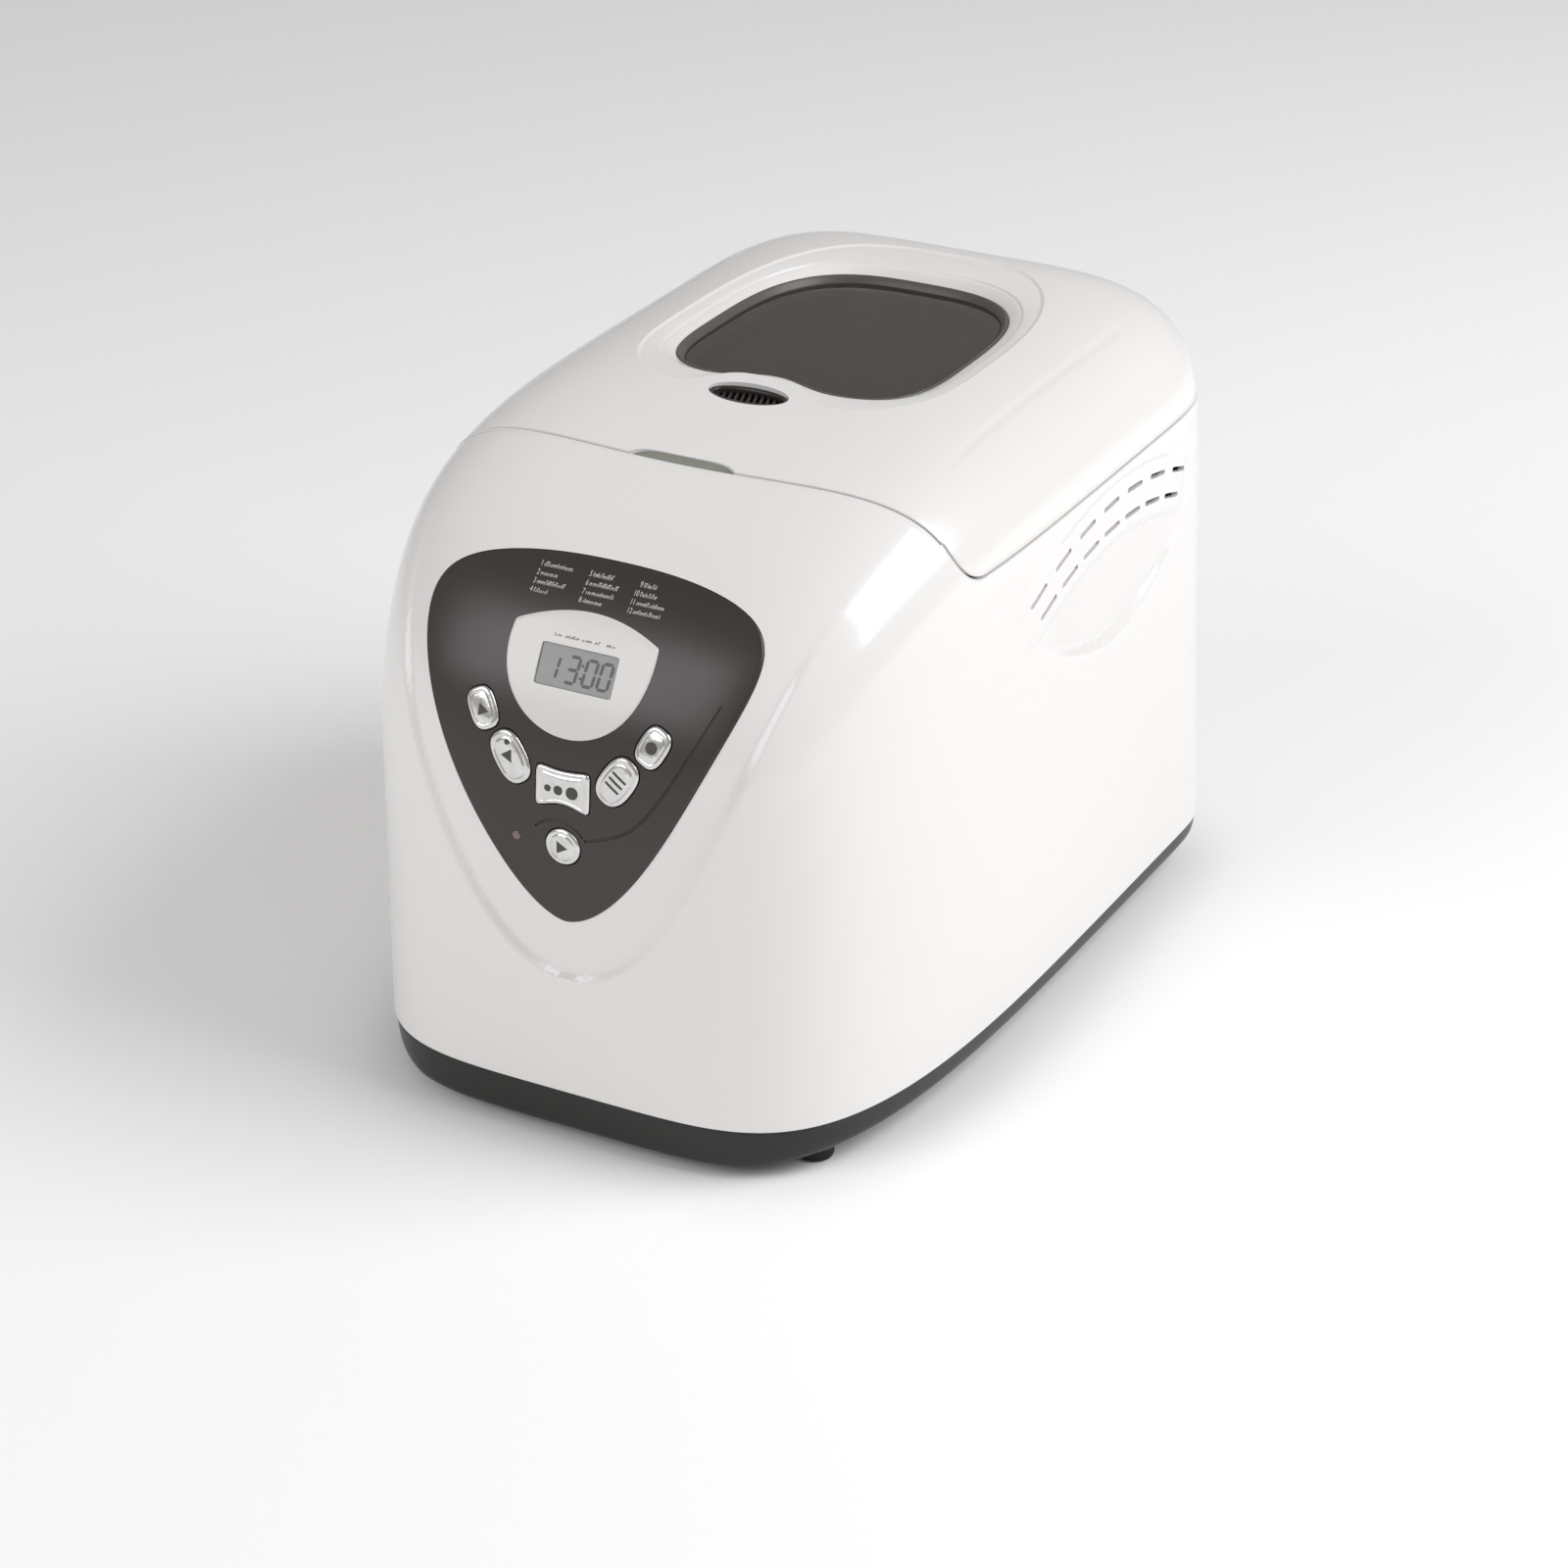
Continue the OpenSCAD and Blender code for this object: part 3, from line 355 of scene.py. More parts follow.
# ---------------------------------------------------------------- shader groups
def new_group(name, inputs, outputs):
    tree = bpy.data.node_groups.new(name, "ShaderNodeTree")
    for label, kind, value in inputs:
        s = tree.interface.new_socket(label, in_out="INPUT", socket_type=kind)
        s.default_value = value
    for label, kind in outputs:
        tree.interface.new_socket(label, in_out="OUTPUT", socket_type=kind)
    return tree, tree.nodes.new("NodeGroupInput"), tree.nodes.new("NodeGroupOutput")


def noise(tree, vector, scale, detail=4.0, rough=0.55):
    n = tree.nodes.new("ShaderNodeTexNoise")
    n.inputs["Detail"].default_value = detail
    n.inputs["Roughness"].default_value = rough
    tree.links.new(vector, n.inputs["Vector"])
    if isinstance(scale, (int, float)):
        n.inputs["Scale"].default_value = scale
    else:
        tree.links.new(scale, n.inputs["Scale"])
    return n


def math_node(tree, kind, a, b):
    n = tree.nodes.new("ShaderNodeMath")
    n.operation = kind
    for sock, v in zip(n.inputs, (a, b)):
        if isinstance(v, (int, float)):
            sock.default_value = v
        else:
            tree.links.new(v, sock)
    return n.outputs[0]


def build_tint_group():
    """Slow drift of colour over a moulded or rolled surface."""
    tree, gi, go = new_group("TintDrift", [
        ("Light", "NodeSocketColor", (1, 1, 1, 1)), ("Dark", "NodeSocketColor", (0.8, 0.8, 0.8, 1)),
        ("Scale", "NodeSocketFloat", 6.0), ("Amount", "NodeSocketFloat", 0.5)],
        [("Color", "NodeSocketColor"), ("Mask", "NodeSocketFloat")])
    co = tree.nodes.new("ShaderNodeTexCoord")
    n = noise(tree, co.outputs["Object"], gi.outputs["Scale"])
    mask = math_node(tree, "MULTIPLY", n.outputs["Fac"], gi.outputs["Amount"])
    mix = tree.nodes.new("ShaderNodeMix")
    mix.data_type = "RGBA"
    tree.links.new(mask, mix.inputs["Factor"])
    tree.links.new(gi.outputs["Light"], mix.inputs[6])
    tree.links.new(gi.outputs["Dark"], mix.inputs[7])
    tree.links.new(mix.outputs[2], go.inputs["Color"])
    tree.links.new(mask, go.inputs["Mask"])
    return tree


def build_grain_group():
    """Fine moulded grain with a slow waviness under it."""
    tree, gi, go = new_group("MouldGrain", [
        ("Grain Scale", "NodeSocketFloat", 900.0), ("Grain", "NodeSocketFloat", 0.5),
        ("Wave Scale", "NodeSocketFloat", 25.0), ("Wave", "NodeSocketFloat", 0.5)],
        [("Height", "NodeSocketFloat")])
    co = tree.nodes.new("ShaderNodeTexCoord")
    fine = noise(tree, co.outputs["Object"], gi.outputs["Grain Scale"], 2.0)
    wave = noise(tree, co.outputs["Object"], gi.outputs["Wave Scale"], 2.0, 0.4)
    a = math_node(tree, "MULTIPLY", fine.outputs["Fac"], gi.outputs["Grain"])
    b = math_node(tree, "MULTIPLY", wave.outputs["Fac"], gi.outputs["Wave"])
    tree.links.new(math_node(tree, "ADD", a, b), go.inputs["Height"])
    return tree


def build_dust_group():
    """Faint dust and wiping marks, more on faces that look up."""
    tree, gi, go = new_group("WipedDust", [
        ("Scale", "NodeSocketFloat", 40.0), ("Amount", "NodeSocketFloat", 0.3)],
        [("Mask", "NodeSocketFloat")])
    co = tree.nodes.new("ShaderNodeTexCoord")
    stretch = tree.nodes.new("ShaderNodeMapping")
    stretch.inputs["Scale"].default_value = (1.0, 0.35, 1.6)
    tree.links.new(co.outputs["Object"], stretch.inputs["Vector"])
    n = noise(tree, stretch.outputs["Vector"], gi.outputs["Scale"], 8.0, 0.65)
    geo = tree.nodes.new("ShaderNodeNewGeometry")
    split = tree.nodes.new("ShaderNodeSeparateXYZ")
    tree.links.new(geo.outputs["Normal"], split.inputs[0])
    up = math_node(tree, "MULTIPLY_ADD", split.outputs["Z"], 0.35)
    up.node.inputs[2].default_value = 0.6
    a = math_node(tree, "MULTIPLY", n.outputs["Fac"], up)
    tree.links.new(math_node(tree, "MULTIPLY", a, gi.outputs["Amount"]), go.inputs["Mask"])
    return tree


def build_brush_group():
    """Long fine scratches of drawn or brushed metal, along X."""
    tree, gi, go = new_group("BrushedLines", [
        ("Scale", "NodeSocketFloat", 260.0), ("Stretch", "NodeSocketFloat", 0.04),
        ("Amount", "NodeSocketFloat", 0.4)],
        [("Height", "NodeSocketFloat"), ("Mask", "NodeSocketFloat")])
    co = tree.nodes.new("ShaderNodeTexCoord")
    sep = tree.nodes.new("ShaderNodeSeparateXYZ")
    com = tree.nodes.new("ShaderNodeCombineXYZ")
    tree.links.new(co.outputs["Object"], sep.inputs[0])
    drawn = math_node(tree, "MULTIPLY", sep.outputs["X"], gi.outputs["Stretch"])
    tree.links.new(drawn, com.inputs[0])
    tree.links.new(sep.outputs["Y"], com.inputs[1])
    tree.links.new(sep.outputs["Z"], com.inputs[2])
    n = noise(tree, com.outputs[0], gi.outputs["Scale"], 6.0, 0.7)
    m = math_node(tree, "MULTIPLY", n.outputs["Fac"], gi.outputs["Amount"])
    tree.links.new(m, go.inputs["Height"])
    tree.links.new(m, go.inputs["Mask"])
    return tree


GROUPS = dict(tint=build_tint_group(), grain=build_grain_group(), dust=build_dust_group(),
              brush=build_brush_group())


def use_group(tree, key, **values):
    n = tree.nodes.new("ShaderNodeGroup")
    n.node_tree = GROUPS[key]
    for label, v in values.items():
        n.inputs[label.replace("_", " ")].default_value = v
    return n


def finish_material(name, light, dark, rough=(0.3, 0.4), metal=0.0, coat=0.0, coat_rough=0.05,
                    drift=6.0, drift_amount=0.6, grain=(900.0, 0.4), wave=(25.0, 0.3),
                    bump=0.03, brushed=False, ior=1.46, transmission=0.0, dust=0.2,
                    dust_scale=40.0, emission=None, specular=0.5):
    mat = bpy.data.materials.new(name)
    mat.use_nodes = True
    tree = mat.node_tree
    bsdf = tree.nodes["Principled BSDF"]
    tint = use_group(tree, "tint", Light=(*light, 1), Dark=(*dark, 1), Scale=drift,
                     Amount=drift_amount)
    tree.links.new(tint.outputs["Color"], bsdf.inputs["Base Color"])
    if brushed:
        marks = use_group(tree, "brush")
        mask, height = marks.outputs["Mask"], marks.outputs["Height"]
    else:
        marks = use_group(tree, "dust", Scale=dust_scale, Amount=dust)
        mask = marks.outputs["Mask"]
        g = use_group(tree, "grain", Grain_Scale=grain[0], Grain=grain[1], Wave_Scale=wave[0],
                      Wave=wave[1])
        height = g.outputs["Height"]
    ramp = tree.nodes.new("ShaderNodeMapRange")
    ramp.inputs["To Min"].default_value = rough[0]
    ramp.inputs["To Max"].default_value = rough[1]
    ramp.inputs["From Max"].default_value = 0.4
    tree.links.new(mask, ramp.inputs["Value"])
    tree.links.new(ramp.outputs["Result"], bsdf.inputs["Roughness"])
    b = tree.nodes.new("ShaderNodeBump")
    b.inputs["Strength"].default_value = 1.0
    b.inputs["Distance"].default_value = bump * 0.001
    tree.links.new(height, b.inputs["Height"])
    tree.links.new(b.outputs["Normal"], bsdf.inputs["Normal"])
    bsdf.inputs["Metallic"].default_value = metal
    bsdf.inputs["IOR"].default_value = ior
    bsdf.inputs["Specular IOR Level"].default_value = specular
    bsdf.inputs["Coat Weight"].default_value = coat
    bsdf.inputs["Coat Roughness"].default_value = coat_rough
    bsdf.inputs["Transmission Weight"].default_value = transmission
    if emission:
        bsdf.inputs["Emission Color"].default_value = (*emission[0], 1)
        bsdf.inputs["Emission Strength"].default_value = emission[1]
    return mat


M = dict(
    white=finish_material("pearl_white_plastic", (0.80, 0.785, 0.775), (0.74, 0.72, 0.705),
                          (0.2, 0.29), coat=0.6, coat_rough=0.12, drift=5.0, bump=0.012,
                          wave=(14.0, 1.0), grain=(700.0, 0.25), dust=0.25),
    base=finish_material("black_base_plastic", (0.012, 0.011, 0.0095), (0.018, 0.0165, 0.0145),
                         (0.32, 0.5), grain=(1500.0, 1.0), bump=0.03),
    rubber=finish_material("foot_rubber", (0.012, 0.012, 0.011), (0.022, 0.021, 0.02),
                           (0.6, 0.8), grain=(2500.0, 1.0), bump=0.04, specular=0.3),
    panel=finish_material("dark_brown_panel", (0.028, 0.021, 0.019), (0.036, 0.028, 0.025),
                          (0.3, 0.42), coat=0.2, coat_rough=0.25, drift=12.0, bump=0.01,
                          dust=0.4),
    ring=finish_material("display_ring_plastic", (0.72, 0.70, 0.685), (0.66, 0.64, 0.62),
                         (0.28, 0.36), coat=0.2, coat_rough=0.2, drift=30.0, bump=0.008),
    lcd=finish_material("lcd_glass", (0.25, 0.252, 0.242), (0.215, 0.22, 0.21), (0.2, 0.3),
                        coat=0.2, coat_rough=0.1, drift=60.0, bump=0.003),
    digit=finish_material("lcd_segments", (0.055, 0.058, 0.055), (0.075, 0.078, 0.074),
                          (0.3, 0.4), drift=200.0, bump=0.002),
    silver=finish_material("silver_key_plate", (0.86, 0.855, 0.84), (0.56, 0.55, 0.54),
                           (0.10, 0.24), metal=1.0, drift=260.0, drift_amount=1.0, bump=0.14,
                           wave=(260.0, 1.0), grain=(3000.0, 0.05), dust=0.6, dust_scale=200.0),
    print_dark=finish_material("key_print", (0.05, 0.048, 0.045), (0.09, 0.085, 0.08), (0.4, 0.55),
                               drift=300.0, bump=0.003),
    print_light=finish_material("panel_print", (0.62, 0.60, 0.58), (0.5, 0.48, 0.46),
                                (0.4, 0.5), drift=300.0, bump=0.003),
    lamp=finish_material("lamp_lens", (0.16, 0.10, 0.09), (0.24, 0.17, 0.15), (0.1, 0.2),
                         coat=0.6, drift=300.0, bump=0.004),
    board=finish_material("board_green", (0.02, 0.10, 0.05), (0.03, 0.13, 0.06), (0.3, 0.45),
                          drift=120.0, grain=(600.0, 0.8), bump=0.03),
    black=finish_material("moulded_black_parts", (0.02, 0.02, 0.021), (0.035, 0.035, 0.035),
                          (0.35, 0.5), grain=(1800.0, 1.0), bump=0.03),
    steel=finish_material("chamber_steel", (0.60, 0.60, 0.595), (0.50, 0.495, 0.48), (0.26, 0.42),
                          metal=1.0, brushed=True, bump=0.02, drift=8.0),
    hot=finish_material("element_steel", (0.22, 0.20, 0.19), (0.13, 0.12, 0.12), (0.4, 0.6),
                        metal=0.9, drift=45.0, grain=(1200.0, 1.0), bump=0.03),
    ceramic=finish_material("ceramic", (0.78, 0.75, 0.69), (0.70, 0.67, 0.61), (0.4, 0.55),
                            drift=60.0, grain=(900.0, 1.0), bump=0.03),
    bright=finish_material("bright_steel", (0.68, 0.68, 0.67), (0.58, 0.58, 0.57), (0.16, 0.3),
                           metal=1.0, brushed=True, bump=0.01, drift=30.0),
    nonstick=finish_material("nonstick_coating", (0.055, 0.055, 0.057), (0.085, 0.085, 0.086),
                             (0.38, 0.55), metal=0.3, drift=20.0, grain=(2200.0, 1.0),
                             wave=(60.0, 0.5), bump=0.03, dust=0.6),
    alu=finish_material("bare_aluminium", (0.57, 0.575, 0.58), (0.47, 0.475, 0.48), (0.34, 0.5),
                        metal=1.0, drift=18.0, grain=(1200.0, 1.0), bump=0.025),
    bronze=finish_material("sintered_bronze", (0.42, 0.27, 0.12), (0.31, 0.20, 0.10), (0.35, 0.5),
                           metal=1.0, drift=60.0, grain=(2600.0, 1.0), bump=0.03),
    belt=finish_material("belt_rubber", (0.014, 0.014, 0.014), (0.03, 0.03, 0.03), (0.55, 0.7),
                         grain=(1800.0, 1.0), bump=0.05),
    fan=finish_material("fan_plastic", (0.04, 0.09, 0.14), (0.05, 0.11, 0.17), (0.35, 0.45),
                        bump=0.02),
    can=finish_material("capacitor_case", (0.62, 0.62, 0.61), (0.52, 0.52, 0.51), (0.35, 0.5),
                        drift=40.0, bump=0.02),
    seal=finish_material("seal_rubber", (0.075, 0.068, 0.06), (0.11, 0.10, 0.09), (0.35, 0.5),
                         drift=60.0, grain=(1800.0, 0.8), bump=0.02),
    glass=finish_material("smoked_glass", (0.20, 0.165, 0.14), (0.17, 0.14, 0.12),
                          (0.02, 0.04), drift=4.0, drift_amount=0.3, bump=0.0003,
                          grain=(300.0, 0.0), wave=(10.0, 1.0), transmission=0.9, dust=0.1,
                          ior=1.32, specular=0.2),
    clear=finish_material("clear_inner_glass", (0.80, 0.84, 0.84), (0.76, 0.80, 0.80),
                          (0.02, 0.06), transmission=0.95, bump=0.001, drift=4.0, ior=1.5),
    lip=finish_material("olive_grey_lip", (0.26, 0.26, 0.225), (0.21, 0.21, 0.185), (0.35, 0.45),
                        drift=50.0, bump=0.01),
    hinge=finish_material("hinge_plastic", (0.66, 0.66, 0.65), (0.60, 0.60, 0.59), (0.35, 0.45),
                          drift=20.0, bump=0.02),
    vent=finish_material("vent_black_plastic", (0.016, 0.013, 0.011), (0.028, 0.024, 0.021),
                         (0.35, 0.5), grain=(1800.0, 0.8), bump=0.02),
)

# ---------------------------------------------------------------- relief of the shells
ARCH_Y, ARCH_Z, ARCH_R = 62.0, -4.0, 239.0


def scoop_low(y):
    d = y - 62
    return 165.5 + np.where(d < 0, 0.0101, 0.0115) * np.abs(d) ** 1.8


def soft_min(a, b, k):
    h = np.clip(0.5 + 0.5 * (b - a) / k, 0, 1)
    return b + (a - b) * h - k * h * (1 - h)


def side_relief(y, z):
    """How far the side wall is pressed in: the scoop and the raised slot band over it."""
    slope = np.where(y < 62, -0.0182, 0.0207) * np.abs(y - 62) ** 0.8
    above = (z - scoop_low(y)) / np.sqrt(1 + slope ** 2)
    edge = soft_min(above, 136 - y, 14.0)
    below_band = 205.9 - np.hypot(y - 61.3, z - 9.3)
    deep = 4.3 * ease((edge + below_band) / 44)
    width = 0.9 + 0.75 * deep
    share = np.clip(below_band / np.maximum(below_band + edge, 1e-3), 0, 1)
    scoop = deep * ease(edge / width) * share
    scoop = np.where((below_band > 0) & (edge > 0), scoop, 0)
    r = np.hypot(y - ARCH_Y, z - ARCH_Z)
    turn = np.arctan2(y - ARCH_Y, z - ARCH_Z)
    band = np.minimum(np.minimum(-below_band, 247.5 - r), np.minimum(
        above - 0.5, r * np.sin(math.radians(19.4) - turn)))
    tail = (0.7 * ease(above / 2.0) * (1 - ease(above / 26)) * ease((-22 - y) / 14)
            * ease((y + 74) / 30))
    return scoop + tail - 0.7 * ease(band / 0.9)


def panel_half(z):
    u = np.clip((z - 112.0) / 149, 0, 1)
    return 92.54 * u ** 0.587 * (1 - u ** 13) ** 0.418


def shield_relief(x, z):
    """How far the front is pressed in round the control panel."""
    u = np.clip((z - 83.5) / 178.5, 1e-6, 1.2)
    half = 103 * u ** 0.455
    slope = 103 * 0.455 * u ** -0.545 / 178.5
    edge = (half - np.abs(x)) / np.sqrt(1 + slope ** 2)
    v = np.clip((z - 112.0) / 149, 1e-4, 1)
    pslope = 92.54 * 0.587 * v ** -0.413 / 149
    to_panel = np.where(z > 112, (np.abs(x) - panel_half(z)) / np.sqrt(1 + pslope ** 2),
                        np.hypot(x, z - 112))
    rise = np.clip(to_panel / np.maximum(to_panel + edge, 1e-3), 0, 1)
    fade = 1 - ease((z - 222) / 42)
    return np.where(edge > 0, (0.7 + 1.9 * rise) * ease(edge / 3.0) * fade, 0)


def pressed(grid):
    """The shell's grid with its side and front relief."""
    x, y, z = grid[..., 0], grid[..., 1], grid[..., 2]
    g = grid.copy()
    side = ease((np.abs(x) / form_half(z) - 0.93) / 0.05)
    g[..., 0] -= np.sign(x) * side * side_relief(y, z)
    front = (y < 0) & (np.abs(x) < 112)
    g[..., 1] += np.where(front, shield_relief(x, z), 0)
    return g


def rounded_steps(r):
    return [(r * (1 - math.cos(a)), r * (1 - math.sin(a))) for a in np.radians([90, 66, 44, 22, 0])]


# ---------------------------------------------------------------- body shell
turns = spaced_turns(2.05, 7.0)
count = len(turns)


def seam_fraction(t, g):
    low, high = np.zeros(count), np.ones(count)
    for _ in range(40):
        mid = (low + high) / 2
        inside = in_lid(on_form(turns, crown_z(mid, t), t), g)
        low, high = np.where(inside, mid, low), np.where(inside, high, mid)
    return (low + high) / 2


def shell_run(t, c0, c1, samples=260):
    """Dense paths over the crown from plan fraction c0 to c1 at every turn."""
    k = np.linspace(0, 1, samples)[None]
    c = c0[:, None] + (c1 - c0)[:, None] * k
    return on_form(turns[:, None] + 0 * c, crown_z(c, t), t)


def body_rings(t, g, low_levels, top_rings):
    c_seam = seam_fraction(t, g)
    low = on_form(turns[:, None] + 0 * low_levels[None], low_levels[None] + 0 * turns[:, None], t)
    z0 = low_levels[-1]
    c0 = np.full(count, (1 - ((z0 - 222) / (CROWN - t - 222)) ** 3.4) ** (1 / 3.4))
    run = shell_run(t, c0, c_seam)
    total = path_length(run)
    k = np.linspace(0, 1, top_rings + 1)[1:]
    top, _ = along(run, total[:, None] * k[None])
    return low, top, run, total


low_levels = np.concatenate([np.linspace(27.2, 80, 12)[:-1], np.linspace(80, 236, 90)])
low, _, run, total = body_rings(0.0, -0.4, low_levels, 2)
edge_r = 1.0
k = np.linspace(0, 1, 30)[1:]
top, _ = along(run, (total[:, None] - edge_r) * k[None])
outer = np.concatenate([low, top], 1)
steps = rounded_steps(edge_r)
edge, _ = along(run, np.stack([total - d for d, _ in steps[::-1]], 1)[:, 1:])
n_edge = outward(np.concatenate([outer, edge], 1))[:, -edge.shape[1]:]
lift = np.array([h for _, h in steps[::-1]][1:])
# the rounded edge turns in below the skin by the mirrored step
turn_in = np.array([edge_r - math.sqrt(max(edge_r ** 2 - (edge_r - d) ** 2, 0))
                    for d, _ in steps[::-1]][1:])
edge = edge - n_edge * turn_in[None, :, None]
foot = []
for d in (0.0, 0.25, 0.6):
    p = on_form(turns, np.full(count, BASE_TOP + d))
    m = np.array([0, middle_y(BASE_TOP), BASE_TOP + d])
    v = p - m
    v[:, 2] = 0
    inset = 0.7 - math.sqrt(max(0.49 - (0.7 - d) ** 2, 0))
    foot.append(p - inset * v / np.linalg.norm(v, axis=1, keepdims=True))
foot = np.stack(foot, 1)
inner_levels = np.concatenate([[BASE_TOP, 50, 80, 110], np.linspace(125, 236, 32)])
ilow, itop, _, _ = body_rings(WALL, -0.4, inner_levels, 8)
inner = np.concatenate([ilow, itop], 1)[:, ::-1]
skin = np.concatenate([foot, pressed(outer), edge, pressed(inner)], 1)
body = piece("white_body", skin.reshape(-1, 3), torus_faces(count, skin.shape[1]), M["white"],
             None)


def front_prism(outline, material, y0=-240.0, y1=-120.0):
    """A prism along Y of an (x, z) outline."""
    return solid("tool", [np.column_stack([outline[:, 0], np.full(len(outline), y), outline[:, 1]])
                          for y in (y0, y1)], material)


def panel_outline(count_out=420):
    s = np.linspace(0, 1, 3000)
    v = np.concatenate([0.5 * (2 * s[:1500]) ** 4, 1 - 0.5 * (2 * (1 - s[1500:])) ** 4])
    z = 112 + 149 * v
    w = panel_half(z)
    right = np.column_stack([w, z])
    left = np.column_stack([-w, z])[::-1]
    return evened(np.concatenate([right, left[1:-1]]), count_out)


def barrel(x0, x1, d, y=201.0, z=SEAM_Z, sides=48):
    a = np.linspace(0, 2 * pi, sides + 1)[:-1]
    return solid("tool", [np.stack([x + 0 * a, y + d / 2 * np.cos(a), z + d / 2 * np.sin(a)], -1)
                          for x in (x0, x1)], M["white"])


def block(x0, x1, y0, y1, z0, z1, material=None, name="tool"):
    o = np.array([(x0, y0), (x1, y0), (x1, y1), (x0, y1)], float)
    return solid(name, [level(o, z0), level(o, z1)], material or M["white"])


def slot_tool(side, turn, r):
    """Long slot with round ends, square to the side wall, lying along the arch."""
    o = rounded_box(17.0, 2.4, 1.15, 28)
    c, s = math.cos(turn), math.sin(turn)
    y = ARCH_Y + (r + o[:, 1]) * s + o[:, 0] * c
    z = ARCH_Z + (r + o[:, 1]) * c - o[:, 0] * s
    return [np.column_stack([np.full(len(o), side * x), y, z]) for x in (118.0, 142.0)]


tools = [front_prism(grown(panel_outline(240), 0.3), M["white"])]
slots = []
for side in (-1, 1):
    for row in (0, 1):
        for j in range(7):
            angle = math.radians(-20.4 + 1.6 * row + j * (6.3 - 0.5 * row))
            slots.append(solid("tool", slot_tool(side, angle, ARCH_R - 12 * row), M["white"]))
    for b in ((-17.1, -7.4), (7.4, 17.1)):
        slots.append(barrel(side * HINGE_X + b[0], side * HINGE_X + b[1], 12.4))
        slots.append(block(side * HINGE_X + b[0], side * HINGE_X + b[1], 190, 201, 244.3, 250))
    slots.append(barrel(side * HINGE_X - 7.6, side * HINGE_X + 7.6, 13.4))
slots.append(block(GLAND_X - GLAND_HALF, GLAND_X + GLAND_HALF, 186, 206,
                   GLAND_Z - GLAND_HALF, GLAND_Z + GLAND_HALF))
cut(body, tools + slots, crisp=42)
hand_over(body, "housing", ["body_shell"])

# ---------------------------------------------------------------- lid shell
c_seam = seam_fraction(0.0, 0.4)
c_rim = crossing(turns, 0.0, lambda p: in_window(p, 0.0))
c_bowl = crossing(turns, 0.0, in_bowl)
run = shell_run(0.0, c_seam, c_rim, 320)
total = path_length(run)
to_bowl = np.minimum(path_length(shell_run(0.0, c_seam, c_bowl, 200)), total - 1.0)


def bowl_drop(s, s_bowl, s_total):
    u = (s - s_bowl) / (s_total - s_bowl)
    return np.where(u > 0, 0.85 * ease((s - s_bowl) / 1.5) + 2.1 * np.clip(u, 0, 1) ** 1.3, 0)


def shoulder_line(p):
    x, y = np.abs(p[..., 0]), p[..., 1]
    at = 102.5 + 0.00012 * (y - 40) ** 2
    return 0.6 * np.exp(-((x - at) / 1.1) ** 2) * ease((y + 66) / 40) * ease((160 - y) / 40)


rim_r = 0.9
s1 = np.linspace(0, 1, 44)
s2 = np.linspace(0, 1, 20)[1:]
bowl_at = to_bowl[:, None]
lengths = np.concatenate([
    edge_r + (bowl_at - 0.6 - edge_r) * s1[None],
    (bowl_at - 0.6) + np.array([0.4, 0.8, 1.2, 1.6])[None],
    (bowl_at + 1.0) + (total[:, None] - rim_r - bowl_at - 1.0) * s2[None]], 1)
lid_outer, _ = along(run, lengths)
seam_at = np.array([d for d, _ in steps])[:-1]
seam_edge, _ = along(run, np.repeat(seam_at[None], count, 0))
rim_at = np.array([0.5, 0.2, 0.05, 0.0]) * rim_r
rim_edge, _ = along(run, total[:, None] - rim_at[None])
whole = np.concatenate([seam_edge, lid_outer, rim_edge], 1)
normal = outward(whole)
all_len = np.concatenate([np.repeat(seam_at[None], count, 0), lengths,
                          total[:, None] - rim_at[None]], 1)
drop = bowl_drop(all_len, to_bowl[:, None], total[:, None]) + shoulder_line(whole)


def corner_in(d, r):
    return np.where(d < r, r - np.sqrt(np.maximum(r * r - (r - np.minimum(d, r)) ** 2, 0)), 0)


drop = drop + corner_in(all_len, edge_r) + corner_in(total[:, None] - all_len, rim_r)
whole = whole - normal * drop[..., None]
ci_seam = seam_fraction(WALL, 0.4)
ci_rim = crossing(turns, WALL, lambda p: in_window(p, 0.0))
irun = shell_run(WALL, ci_seam, ci_rim, 200)
itotal = path_length(irun)
ci_bowl = crossing(turns, WALL, in_bowl)
i_bowl = np.minimum(path_length(shell_run(WALL, ci_seam, ci_bowl, 200)), itotal - 1.0)
ilen = np.concatenate([
    i_bowl[:, None] * np.linspace(0, 1, 14)[None],
    i_bowl[:, None] + (itotal - i_bowl)[:, None] * np.linspace(0, 1, 9)[1:][None]], 1)
lid_inner, _ = along(irun, ilen)
lid_inner[..., 2] -= bowl_drop(ilen, i_bowl[:, None], itotal[:, None])
skin = np.concatenate([whole, lid_inner[:, ::-1]], 1)
lid = piece("white_lid", skin.reshape(-1, 3), torus_faces(count, skin.shape[1]), M["white"], None)


def notch_tool():
    """Finger notch: a shallow bite out of the lid's front edge with slanted ends."""
    x = np.linspace(-26.5, 26.5, 45)
    bow = BOW_Y - np.sqrt(BOW_R ** 2 - x ** 2)
    deep = 5.6 * (1 - np.abs(x / 26.5) ** 6) ** 0.8
    front = np.column_stack([x, bow - 3])
    back = np.column_stack([x, bow + deep])[::-1]
    o = np.concatenate([front, back])
    return solid("tool", [level(o, 279.0), level(o, 299.0)], M["white"])


